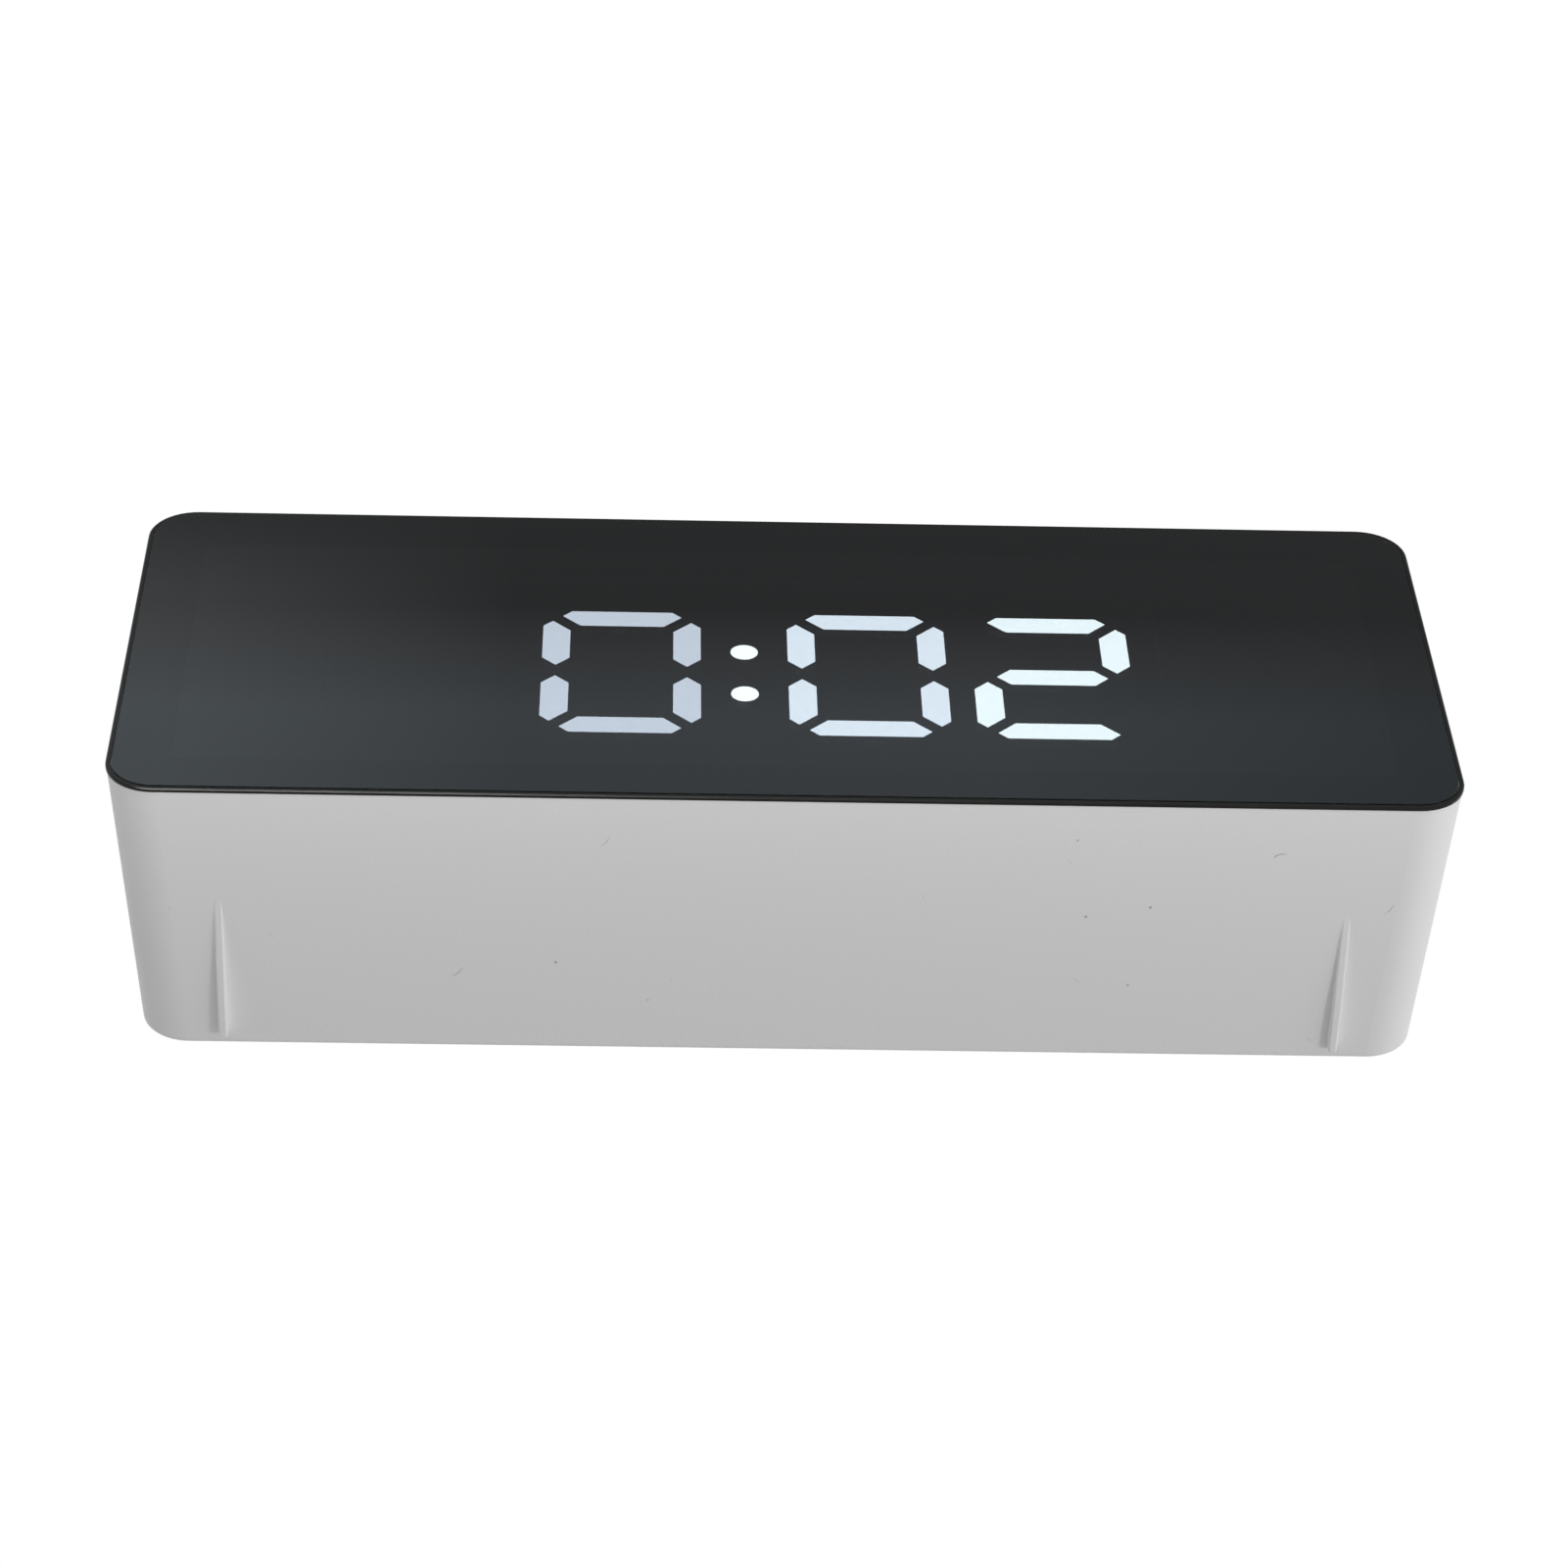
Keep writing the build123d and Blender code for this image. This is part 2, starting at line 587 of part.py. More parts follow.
def inner_features():
    """Bosses, webs, posts, pads and the walls of the battery bay."""
    features = slab(bay_outline(BAY_WALL), BAY_FLOOR_Y - BAY_WALL, INNER_BACK_Y)
    features += slab(bay_outline(DOOR_LEDGE + BAY_WALL), LEDGE_Y - LEDGE_DEPTH, INNER_BACK_Y)
    for x, z in FRAME_SCREW_PLACES:
        features += rod(x, z, BOSS_RADIUS, FRAME_BACK_Y, INNER_BACK_Y)
        outer_x = x + (FRAME_SCREW_INSET if x > 0 else -FRAME_SCREW_INSET)
        web_x = sorted((x, outer_x))
        features += brick(web_x, (FRAME_BACK_Y, INNER_BACK_Y), (z - BOSS_WEB / 2, z + BOSS_WEB / 2))
    for x, z in MAIN_SCREW_PLACES:
        features += rod(x, z, BOSS_RADIUS, MAIN_BOARD_BACK_Y, INNER_BACK_Y)
    features += pad_behind(STRIP_X, STRIP_Z, STRIP_LENGTH, STRIP_HEIGHT, STRIP_RADIUS)
    features += pad_behind(INLET_X, INLET_Z, INLET_RECESS_WIDTH, INLET_RECESS_HEIGHT, INLET_RECESS_RADIUS)
    return features


def battery_cuts():
    """Room for the cells, the door with its barrel, pins and latch, and the contact tags."""
    hollow = slab(bay_outline(0), BAY_FLOOR_Y, BACK_Y)
    for low, high in zip(CELL_HEIGHTS, CELL_HEIGHTS[1:]):
        saddle = Rectangle(BAY_LENGTH - 2 * SPRING_LENGTH, BAY_SADDLE_WIDTH)
        saddle = Pos(BATTERY_X, (low + high) / 2) * saddle
        hollow -= slab(saddle, BAY_FLOOR_Y, CELL_Y - BAY_SADDLE_DROP)
    rebate = Pos(BATTERY_X, MID_Z) * RectangleRounded(
        DOOR_LENGTH + 2 * DOOR_GAP, DOOR_HEIGHT + 2 * DOOR_GAP, DOOR_RADIUS + DOOR_GAP
    )
    half_length = DOOR_LENGTH / 2
    door_x = (BATTERY_X - half_length - DOOR_GAP, BATTERY_X + half_length + DOOR_GAP)
    barrel_room = HINGE_BARREL_RADIUS + DOOR_GAP
    groove = brick(door_x, (HINGE_Y - barrel_room, BACK_Y), (HINGE_Z - barrel_room, HINGE_Z + barrel_room))
    pin_length = DOOR_LENGTH + 2 * (DOOR_GAP + HINGE_PIN_REACH + HINGE_PIN_GAP)
    pins = Pos(BATTERY_X, HINGE_Y, HINGE_Z) * Rot(0, 90, 0) * Cylinder(
        HINGE_PIN_RADIUS + HINGE_PIN_GAP, pin_length
    )
    latch_half = LATCH_WIDTH / 2 + LATCH_GAP
    latch_x = (BATTERY_X - latch_half, BATTERY_X + latch_half)
    latch_z = (DOOR_TOP_Z - LATCH_LEG - LATCH_GAP, HINGE_Z + LATCH_SWING + LATCH_GAP)
    latch = brick(latch_x, (LATCH_FRONT_Y - LATCH_GAP, BACK_Y), latch_z)
    tags = [tag(BAY_LEFT_X, CELL_HEIGHTS[-1], TAG_GAP), tag(BAY_RIGHT_X, CELL_HEIGHTS[0], TAG_GAP)]
    return [hollow, slab(rebate, LEDGE_Y, BACK_Y), groove, pins, latch] + tags


def control_cuts():
    """Recesses and openings for the buttons, the switch, the power inlet and the sound."""
    strip = Pos(STRIP_X, STRIP_Z) * RectangleRounded(STRIP_LENGTH, STRIP_HEIGHT, STRIP_RADIUS)
    cuts = [slab(strip, RECESS_Y, BACK_Y)]
    for x in BUTTON_PLACES.values():
        cuts.append(slab(Pos(x, STRIP_Z) * button_outline(BUTTON_GAP), PAD_Y, RECESS_Y))
    slot_length = SWITCH_KNOB_LENGTH + SWITCH_TRAVEL + 2 * SWITCH_GAP
    slot = Pos(SWITCH_X, STRIP_Z) * Rectangle(slot_length, SWITCH_KNOB_WIDTH + 2 * SWITCH_GAP)
    cuts.append(slab(slot, PAD_Y, RECESS_Y))
    plug_room = RectangleRounded(INLET_RECESS_WIDTH, INLET_RECESS_HEIGHT, INLET_RECESS_RADIUS)
    cuts.append(slab(Pos(INLET_X, INLET_Z) * plug_room, RECESS_Y, BACK_Y))
    cuts.append(slab(inlet_outline(INLET_GAP), PAD_Y, RECESS_Y))
    ring_places = PolarLocations(SOUND_RING_RADIUS, SOUND_RING_COUNT)
    ring = [place * Circle(SOUND_HOLE_RADIUS) for place in ring_places]
    holes = Sketch() + ring + Circle(SOUND_HOLE_RADIUS)
    cuts.append(slab(Pos(BUZZER_X, BUZZER_Z) * holes, INNER_BACK_Y, BACK_Y))
    snooze_hole = SlotOverall(SNOOZE_LENGTH + 2 * SNOOZE_GAP, SNOOZE_WIDTH + 2 * SNOOZE_GAP)
    cuts.append(extrude(Pos(0, SNOOZE_Y, MID_Z) * snooze_hole, amount=PANEL_HEIGHT))
    return cuts


def housing():
    """One-piece drafted tub with its back, foot ribs, bosses and battery bay."""
    outside = tub_solid(BEZEL_BACK_Y, BACK_Y)
    outside = fillet(outside.faces().sort_by(Axis.Y)[-1].edges(), BACK_EDGE_RADIUS)
    tub = outside - slab(face_outline(PANEL_INSET), BEZEL_BACK_Y, RIM_Y)
    tub -= tub_solid(RIM_Y, INNER_BACK_Y, WALL)
    tub += inner_features() & tub_solid(RIM_Y, INNER_BACK_Y, WALL / 2)
    tub += [foot_rib(side * RIB_SPACING / 2) for side in (-1, 1)]
    tub -= battery_cuts() + control_cuts()
    for x, z in FRAME_SCREW_PLACES:
        tub -= rod(x, z, SCREW_RADIUS + SCREW_PILOT_GAP, FRAME_BACK_Y, FRAME_BACK_Y + SCREW_GRIP)
    for x, z in MAIN_SCREW_PLACES:
        tub -= rod(x, z, SCREW_RADIUS + SCREW_PILOT_GAP, MAIN_BOARD_BACK_Y, INNER_BACK_Y)
    return tub


# Buttons and switches

def button_outline(grow=0.0):
    """Front-view outline of a button cap."""
    return RectangleRounded(BUTTON_WIDTH + 2 * grow, BUTTON_HEIGHT + 2 * grow, BUTTON_RADIUS + grow)


def button_cap(x):
    """Cap with a soft outer edge and the flange that keeps it behind the wall."""
    cap = slab(Pos(x, STRIP_Z) * button_outline(), FLANGE_BACK_Y, BACK_Y - BUTTON_SINK)
    cap = fillet(cap.faces().sort_by(Axis.Y)[-1].edges(), BUTTON_EDGE_RADIUS)
    return cap + slab(Pos(x, STRIP_Z) * button_outline(FLANGE_REACH), FLANGE_FRONT_Y, FLANGE_BACK_Y)


def button_plunger(x):
    """Plunger of the tact switch under a cap."""
    return rod(x, STRIP_Z, PLUNGER_RADIUS, TACT_TOP_Y - PLUNGER_SEAT, FLANGE_FRONT_Y)


def snooze_outline(grow=0.0):
    """Plan outline of the snooze bar."""
    return SlotOverall(SNOOZE_LENGTH + 2 * grow, SNOOZE_WIDTH + 2 * grow)


SNOOZE_FLANGE_TOP_Z = inner_top(SNOOZE_Y + SNOOZE_WIDTH / 2 + FLANGE_REACH) - FLANGE_GAP
SNOOZE_FLANGE_Z = SNOOZE_FLANGE_TOP_Z - FLANGE_THICKNESS
SNOOZE_TACT_TOP_Z = SNOOZE_FLANGE_Z - PLUNGER_SHOWS


def snooze_bar():
    """Long bar that follows the drafted top and stands a little proud of it."""
    column = extrude(Pos(0, SNOOZE_Y, SNOOZE_FLANGE_TOP_Z) * snooze_outline(), amount=PANEL_HEIGHT)
    bar = column & tub_solid(BEZEL_BACK_Y, BACK_Y, -SNOOZE_PROUD)
    bar = fillet(bar.faces().sort_by(Axis.Z)[-1].edges(), SNOOZE_EDGE_RADIUS)
    flange = Pos(0, SNOOZE_Y, SNOOZE_FLANGE_Z) * snooze_outline(FLANGE_REACH)
    return bar + extrude(flange, amount=FLANGE_THICKNESS)


def snooze_plunger():
    """Plunger of the upright tact switch under the snooze bar."""
    base = Pos(0, SNOOZE_Y, SNOOZE_TACT_TOP_Z - PLUNGER_SEAT) * Circle(PLUNGER_RADIUS)
    return extrude(base, amount=PLUNGER_SEAT + PLUNGER_SHOWS)


def tact_switches():
    """Four switches under the caps and one that looks up at the snooze bar."""
    bore = PLUNGER_RADIUS + PLUNGER_GAP
    switches = []
    for x in BUTTON_PLACES.values():
        body = slab(Pos(x, STRIP_Z) * Rectangle(TACT_SIDE, TACT_SIDE), MAIN_BOARD_BACK_Y, TACT_TOP_Y)
        depth = PLUNGER_SEAT + BUTTON_TRAVEL + PLUNGER_FLOOR_GAP
        switches.append((body - rod(x, STRIP_Z, bore, TACT_TOP_Y - depth, TACT_TOP_Y)).solid())
    upright = brick(
        (-TACT_SIDE / 2, TACT_SIDE / 2),
        (MAIN_BOARD_FRONT_Y - SNOOZE_TACT_DEPTH, MAIN_BOARD_FRONT_Y),
        (SNOOZE_TACT_TOP_Z - SNOOZE_TACT_HEIGHT, SNOOZE_TACT_TOP_Z),
    )
    depth = PLUNGER_SEAT + SNOOZE_TRAVEL + PLUNGER_FLOOR_GAP
    well = extrude(Pos(0, SNOOZE_Y, SNOOZE_TACT_TOP_Z - depth) * Circle(bore), amount=depth)
    switches.append((upright - well).solid())
    return Compound(switches)


SWITCH_BODY_TOP_Y = MAIN_BOARD_BACK_Y + SWITCH_BODY_HEIGHT
SWITCH_OFF_X = SWITCH_X - SWITCH_TRAVEL / 2
SHIELD_BACK_Y = PAD_Y - SWITCH_GAP


def switch_body():
    """Case of the slide switch with the slot that its stem runs in."""
    case = Rectangle(SWITCH_BODY_LENGTH, SWITCH_BODY_WIDTH)
    slot = Rectangle(SWITCH_STEM + SWITCH_TRAVEL + 2 * SWITCH_GAP, SWITCH_STEM + 2 * SWITCH_GAP)
    body = slab(Pos(SWITCH_X, STRIP_Z) * case, MAIN_BOARD_BACK_Y, SWITCH_BODY_TOP_Y)
    floor = SWITCH_BODY_TOP_Y - SWITCH_STEM_SEAT - SWITCH_GAP
    return body - slab(Pos(SWITCH_X, STRIP_Z) * slot, floor, SWITCH_BODY_TOP_Y)


def switch_slider():
    """Stem, dust shield and grooved knob of the slide switch, drawn in the off position."""
    place = Pos(SWITCH_OFF_X, STRIP_Z)
    knob_top = BACK_Y - SWITCH_KNOB_SINK
    shield_length = SWITCH_KNOB_LENGTH + 2 * (SWITCH_TRAVEL + 2 * SWITCH_GAP)
    shield = RectangleRounded(shield_length, SWITCH_KNOB_WIDTH + 4 * SWITCH_GAP, SWITCH_GAP)
    shield_front = SHIELD_BACK_Y - SWITCH_SHIELD
    stem = place * Rectangle(SWITCH_STEM, SWITCH_STEM)
    slider = slab(stem, SWITCH_BODY_TOP_Y - SWITCH_STEM_SEAT, shield_front)
    slider += slab(place * shield, shield_front, SHIELD_BACK_Y)
    slider += slab(place * Rectangle(SWITCH_KNOB_LENGTH, SWITCH_KNOB_WIDTH), SHIELD_BACK_Y, knob_top)
    groove_step = SWITCH_KNOB_LENGTH / (KNOB_GROOVES + 1)
    for i in range(KNOB_GROOVES):
        groove_x = SWITCH_OFF_X - SWITCH_KNOB_LENGTH / 2 + (i + 1) * groove_step
        groove = Pos(groove_x, STRIP_Z) * Rectangle(KNOB_GROOVE_WIDTH, SWITCH_KNOB_WIDTH)
        slider -= slab(groove, knob_top - KNOB_GROOVE_DEPTH, knob_top)
    return slider


# Boards and what they carry

def main_board():
    """Board behind the control strip, screwed to posts on the back wall."""
    outline = Pos(MAIN_BOARD_X, MAIN_BOARD_Z) * Rectangle(MAIN_BOARD_WIDTH, MAIN_BOARD_HEIGHT)
    board = slab(outline, MAIN_BOARD_FRONT_Y, MAIN_BOARD_BACK_Y)
    return board - [
        rod(x, z, SCREW_RADIUS + SCREW_PASS_GAP, MAIN_BOARD_FRONT_Y, MAIN_BOARD_BACK_Y)
        for x, z in MAIN_SCREW_PLACES
    ]


def inlet_outline(grow=0.0):
    """Front-view outline of the power inlet: flat on top, cut corners below."""
    half = INLET_WIDTH / 2 + grow
    rise = INLET_HEIGHT / 2 + grow
    corners = [
        (-half, rise),
        (half, rise),
        (half, INLET_CORNER - rise),
        (half - INLET_CORNER, -rise),
        (INLET_CORNER - half, -rise),
        (-half, INLET_CORNER - rise),
    ]
    return Pos(INLET_X, INLET_Z) * make_face(Polyline(*corners, close=True))


def inlet_shell():
    """Upright metal shell of the power inlet, closed at the board."""
    shell = slab(inlet_outline(), MAIN_BOARD_BACK_Y, RECESS_Y)
    return shell - slab(inlet_outline(-INLET_SHELL), MAIN_BOARD_BACK_Y + INLET_BASE, RECESS_Y)


def inlet_tongue():
    """Contact tongue inside the power inlet."""
    tongue = Pos(INLET_X, INLET_Z) * Rectangle(INLET_TONGUE_WIDTH, INLET_TONGUE_HEIGHT)
    return slab(tongue, MAIN_BOARD_BACK_Y + INLET_BASE, RECESS_Y - INLET_TONGUE_HEIGHT)


def buzzer():
    """Round buzzer can with its sound port."""
    top = MAIN_BOARD_BACK_Y + BUZZER_HEIGHT
    can = rod(BUZZER_X, BUZZER_Z, BUZZER_RADIUS, MAIN_BOARD_BACK_Y, top)
    can = fillet(can.edges().sort_by(Axis.Y)[-1], BUZZER_EDGE_RADIUS)
    return can - rod(BUZZER_X, BUZZER_Z, BUZZER_PORT_RADIUS, top - BUZZER_PORT_DEPTH, top)


def controller_chip():
    """Chip body with a row of leads on each long side."""
    top = MAIN_BOARD_FRONT_Y - CHIP_HEIGHT
    body = slab(Pos(CHIP_X, CHIP_Z) * Rectangle(CHIP_LENGTH, CHIP_WIDTH), top, MAIN_BOARD_FRONT_Y)
    body = chamfer(body.faces().sort_by(Axis.Y)[0].edges(), CHIP_BEVEL)
    for i in range(CHIP_LEADS_A_SIDE):
        lead_x = CHIP_X + (i - (CHIP_LEADS_A_SIDE - 1) / 2) * CHIP_LEAD_PITCH
        lead = Pos(lead_x, CHIP_Z) * Rectangle(CHIP_LEAD_WIDTH, CHIP_WIDTH + 2 * CHIP_LEAD_REACH)
        body += slab(lead, MAIN_BOARD_FRONT_Y - CHIP_LEAD_RISE, MAIN_BOARD_FRONT_Y)
    return body


def crystal():
    """Flat-sided crystal can on its foot."""
    can = Pos(CRYSTAL_X, CRYSTAL_Z) * SlotOverall(CRYSTAL_LENGTH, CRYSTAL_WIDTH)
    foot = Pos(CRYSTAL_X, CRYSTAL_Z) * SlotOverall(
        CRYSTAL_LENGTH + 2 * CRYSTAL_FOOT_REACH, CRYSTAL_WIDTH + 2 * CRYSTAL_FOOT_REACH
    )
    body = slab(can, MAIN_BOARD_FRONT_Y - CRYSTAL_HEIGHT, MAIN_BOARD_FRONT_Y)
    return body + slab(foot, MAIN_BOARD_FRONT_Y - CRYSTAL_FOOT, MAIN_BOARD_FRONT_Y)


def capacitor():
    """Round capacitor can with the groove near its foot."""
    top = MAIN_BOARD_FRONT_Y - CAPACITOR_HEIGHT
    can = rod(CAPACITOR_X, CAPACITOR_Z, CAPACITOR_RADIUS, top, MAIN_BOARD_FRONT_Y)
    can = fillet(can.edges().sort_by(Axis.Y)[0], CAPACITOR_GROOVE)
    groove_y = MAIN_BOARD_FRONT_Y - CAPACITOR_RADIUS / 2
    ring = Rot(90, 0, 0) * Torus(CAPACITOR_RADIUS, CAPACITOR_GROOVE)
    return can - Pos(CAPACITOR_X, groove_y, CAPACITOR_Z) * ring


def header_places():
    """Places of the pins that join the boards."""
    return [HEADER_X + (i - (HEADER_PINS - 1) / 2) * HEADER_PITCH for i in range(HEADER_PINS)]


def header_strips():
    """One plastic strip on each board, bored for the pins."""
    length = HEADER_PINS * HEADER_PITCH
    outline = Pos(HEADER_X, HEADER_Z) * Rectangle(length, HEADER_STRIP_WIDTH)
    outline -= [Pos(x, HEADER_Z) * Circle(HEADER_PIN_RADIUS) for x in header_places()]
    on_display = slab(outline, DISPLAY_BOARD_BACK_Y, DISPLAY_BOARD_BACK_Y + HEADER_STRIP_HEIGHT)
    on_main = slab(outline, MAIN_BOARD_FRONT_Y - HEADER_STRIP_HEIGHT, MAIN_BOARD_FRONT_Y)
    return Compound([on_display.solid(), on_main.solid()])


def header_pins():
    """Pins between the two boards."""
    return Compound([
        rod(x, HEADER_Z, HEADER_PIN_RADIUS, DISPLAY_BOARD_BACK_Y, MAIN_BOARD_FRONT_Y).solid()
        for x in header_places()
    ])


# Battery bay

def plus_side(index):
    """Side of the bay that a cell's plus end points to: the cells alternate."""
    return -1 if index % 2 == 0 else 1


def cell(index):
    """AAA cell with its raised plus end, lying along X."""
    shoulder = CELL_LENGTH - NUB_LENGTH
    profile = Polyline(
        (0, 0), (CELL_RADIUS, 0), (CELL_RADIUS, shoulder), (NUB_RADIUS, shoulder),
        (NUB_RADIUS, CELL_LENGTH), (0, CELL_LENGTH), close=True,
    )
    body = revolve(Plane.XZ * make_face(profile), Axis.Z)
    circles = body.edges().filter_by(GeomType.CIRCLE)
    body = fillet([rim for rim in circles if rim.radius > NUB_RADIUS + CELL_EDGE_RADIUS], CELL_EDGE_RADIUS)
    side = plus_side(index)
    tip_x = BATTERY_X + side * (BAY_LENGTH / 2 - CONTACT_THICKNESS - CONTACT_BUMP - CONTACT_TOUCH)
    return Pos(tip_x - side * CELL_LENGTH, CELL_Y, CELL_HEIGHTS[index]) * Rot(0, side * 90, 0) * body


def spring(index):
    """Conical coil at a cell's minus end, wound in half turns that meet without a kink."""
    side = -plus_side(index)
    wall_x = BATTERY_X + side * (BAY_LENGTH / 2 - CONTACT_THICKNESS - CONTACT_TOUCH)
    steps = 2 * SPRING_TURNS
    climb = SPRING_LENGTH - 2 * SPRING_WIRE_RADIUS
    path = []
    for i in range(steps):
        ends = []
        for k in (i, i + 1):
            radius = SPRING_BASE_RADIUS + (SPRING_TOP_RADIUS - SPRING_BASE_RADIUS) * k / steps
            along = SPRING_WIRE_RADIUS + climb * k / steps
            ends.append(Vector(radius if k % 2 == 0 else -radius, 0, along))
        middle = (ends[0] + ends[1]) * 0.5
        bow = (ends[0] - ends[1]).length / 2
        middle += Vector(0, bow if i % 2 == 0 else -bow, 0)
        path.append(ThreePointArc(ends[0], middle, ends[1]))
    wire = Wire(path)
    start = Plane(origin=wire @ 0, z_dir=wire % 0)
    coil = sweep(start * Circle(SPRING_WIRE_RADIUS), path=wire)
    return Pos(wall_x, CELL_Y, CELL_HEIGHTS[index]) * Rot(0, -side * 90, 0) * coil


def tag(wall_x, z, grow=0.0):
    """Solder tag of an end contact, through the floor of the bay."""
    side = -1 if wall_x < BATTERY_X else 1
    thickness = sorted((wall_x, wall_x - side * (CONTACT_THICKNESS + grow)))
    half = TAG_WIDTH / 2 + grow
    return brick(thickness, (TAG_END_Y, CELL_Y), (z - half, z + half))


def contact(side, indices, tagged):
    """Sheet contact on an end wall of the bay, with a bump for each plus end."""
    wall_x = BATTERY_X + side * BAY_LENGTH / 2
    face_x = wall_x - side * CONTACT_THICKNESS
    low = CELL_HEIGHTS[indices[0]] - CONTACT_SIDE / 2
    high = CELL_HEIGHTS[indices[-1]] + CONTACT_SIDE / 2
    half = CONTACT_SIDE / 2
    plate = brick(sorted((wall_x, face_x)), (CELL_Y - half, CELL_Y + half), (low, high))
    for index in indices:
        if plus_side(index) == side:
            middle_x = face_x - side * CONTACT_BUMP / 2
            plate += Pos(middle_x, CELL_Y, CELL_HEIGHTS[index]) * Rot(0, 90, 0) * Cylinder(
                CONTACT_BUMP_RADIUS, CONTACT_BUMP
            )
    if tagged:
        plate += tag(wall_x, CELL_HEIGHTS[indices[0]])
    return plate.solid()


def contact_plates():
    """Contacts that join the three cells in a row and lead out at both ends."""
    return Compound([
        contact(-1, (0, 1), False),
        contact(-1, (2,), True),
        contact(1, (0,), True),
        contact(1, (1, 2), False),
    ])


def lead(points):
    """Insulated wire along straight runs with round bends."""
    path = FilletPolyline(*points, radius=LEAD_BEND)
    start = Plane(origin=path @ 0, z_dir=path % 0)
    return sweep(start * Circle(LEAD_RADIUS), path=path)


def cell_lead(wall_x, z):
    """Wire from a contact tag, under the floor of the bay, to the front of the main board."""
    side = -1 if wall_x < BATTERY_X else 1
    tag_x = wall_x - side * (CONTACT_THICKNESS + LEAD_RADIUS)
    under_y = (TAG_END_Y + DISPLAY_BOARD_BACK_Y) / 2
    board_x = MAIN_BOARD_X - MAIN_BOARD_WIDTH / 2 + MAIN_POST_INSET_X
    return lead([
        (tag_x, BAY_FLOOR_Y - BAY_WALL - TAG_GAP, z),
        (tag_x, under_y, z),
        (board_x, under_y, z),
        (board_x, MAIN_BOARD_FRONT_Y, z),
    ])


def battery_door():
    """Door with a round hinge edge, a pin at each end of it and a springy latch at the top."""
    plate_height = DOOR_TOP_Z - HINGE_Z
    plate = Pos(BATTERY_X, HINGE_Z + plate_height / 2) * Rectangle(DOOR_LENGTH, plate_height)
    door = slab(plate, DOOR_FRONT_Y, DOOR_BACK_Y)
    top_corners = door.edges().filter_by(Axis.Y).group_by(Axis.Z)[-1]
    door = fillet(top_corners, DOOR_RADIUS)
    along_x = Pos(BATTERY_X, HINGE_Y, HINGE_Z) * Rot(0, 90, 0)
    door += along_x * Cylinder(HINGE_BARREL_RADIUS, DOOR_LENGTH)
    door += along_x * Cylinder(HINGE_PIN_RADIUS, DOOR_LENGTH + 2 * (DOOR_GAP + HINGE_PIN_REACH))
    latch_x = (BATTERY_X - LATCH_WIDTH / 2, BATTERY_X + LATCH_WIDTH / 2)
    latch_depth = (LATCH_FRONT_Y, DOOR_BACK_Y)
    door += brick(latch_x, latch_depth, (DOOR_TOP_Z - LATCH_LEG, DOOR_TOP_Z))
    door += brick(latch_x, latch_depth, (DOOR_TOP_Z + LATCH_SPACE, LATCH_TOP_Z))
    door += brick(latch_x, (LATCH_FRONT_Y, LATCH_FRONT_Y + LATCH_LEG), (DOOR_TOP_Z, LATCH_TOP_Z))
    return door


def digit_nodes():
    """Lit segments of each digit and the dots, and all unlit segments together."""
    nodes = {}
    unlit = []
    for name, (x, lit) in DIGITS.items():
        unlit += [segment_face(segment, x) for segment in SEGMENTS if segment not in lit]
        if lit:
            nodes[name] = diffusers([segment_face(segment, x) for segment in lit])
    nodes["colon_dots"] = diffusers(colon_faces())
    nodes["unlit_segments"] = diffusers(unlit)
    return nodes


def build_nodes():
    """Every piece of the clock by name."""
    nodes = {
        "housing": housing(),
        "mirror_panel": mirror_panel(),
        "mirror_bezel": mirror_bezel(),
        "panel_tape": panel_tape(),
        "front_frame": front_frame(),
        "frame_screws": Compound([countersunk_screw(x, z).solid() for x, z in FRAME_SCREW_PLACES]),
        "display_block": display_block(),
        **digit_nodes(),
        "display_board": display_board(),
        "segment_leds": segment_leds(),
        "display_screws": Compound([
            pan_screw(x, z, DISPLAY_BOARD_BACK_Y, BLOCK_BACK_Y - SCREW_GRIP).solid()
            for x, z in DISPLAY_SCREW_PLACES
        ]),
        "main_board": main_board(),
        "board_screws": Compound([
            pan_screw(x, z, MAIN_BOARD_FRONT_Y, MAIN_BOARD_BACK_Y + SCREW_GRIP).solid()
            for x, z in MAIN_SCREW_PLACES
        ]),
        "controller_chip": controller_chip(),
        "crystal": crystal(),
        "capacitor": capacitor(),
        "header_strips": header_strips(),
        "header_pins": header_pins(),
        "buzzer": buzzer(),
        "tact_switches": tact_switches(),
        "inlet_shell": inlet_shell(),
        "inlet_tongue": inlet_tongue(),
        "switch_body": switch_body(),
        "switch_slider": switch_slider(),
        "snooze_bar": snooze_bar(),
        "snooze_plunger": snooze_plunger(),
        "battery_door": battery_door(),
        "battery_cells": Compound([cell(i).solid() for i in range(CELL_COUNT)]),
        "battery_springs": Compound([spring(i).solid() for i in range(CELL_COUNT)]),
        "contact_plates": contact_plates(),
        "plus_lead": cell_lead(BAY_LEFT_X, CELL_HEIGHTS[-1]),
        "minus_lead": cell_lead(BAY_RIGHT_X, CELL_HEIGHTS[0]),
    }
    for name, x in BUTTON_PLACES.items():
        nodes[f"{name}_button"] = button_cap(x)
        nodes[f"{name}_plunger"] = button_plunger(x)
    return nodes


os.makedirs("parts", exist_ok=True)
for node_name, shape in build_nodes().items():
    shape.label = node_name
    export_step(shape, f"parts/{node_name}.step")
    print(node_name, round(shape.volume, 1), "mm3")
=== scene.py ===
"""Dresses and lights the mirror-front alarm clock in the shared frame of its solids."""

from __future__ import annotations

import logging
from dataclasses import dataclass, field
from enum import Enum
from functools import cache
from typing import Any

import bpy
from mathutils import Matrix, Vector

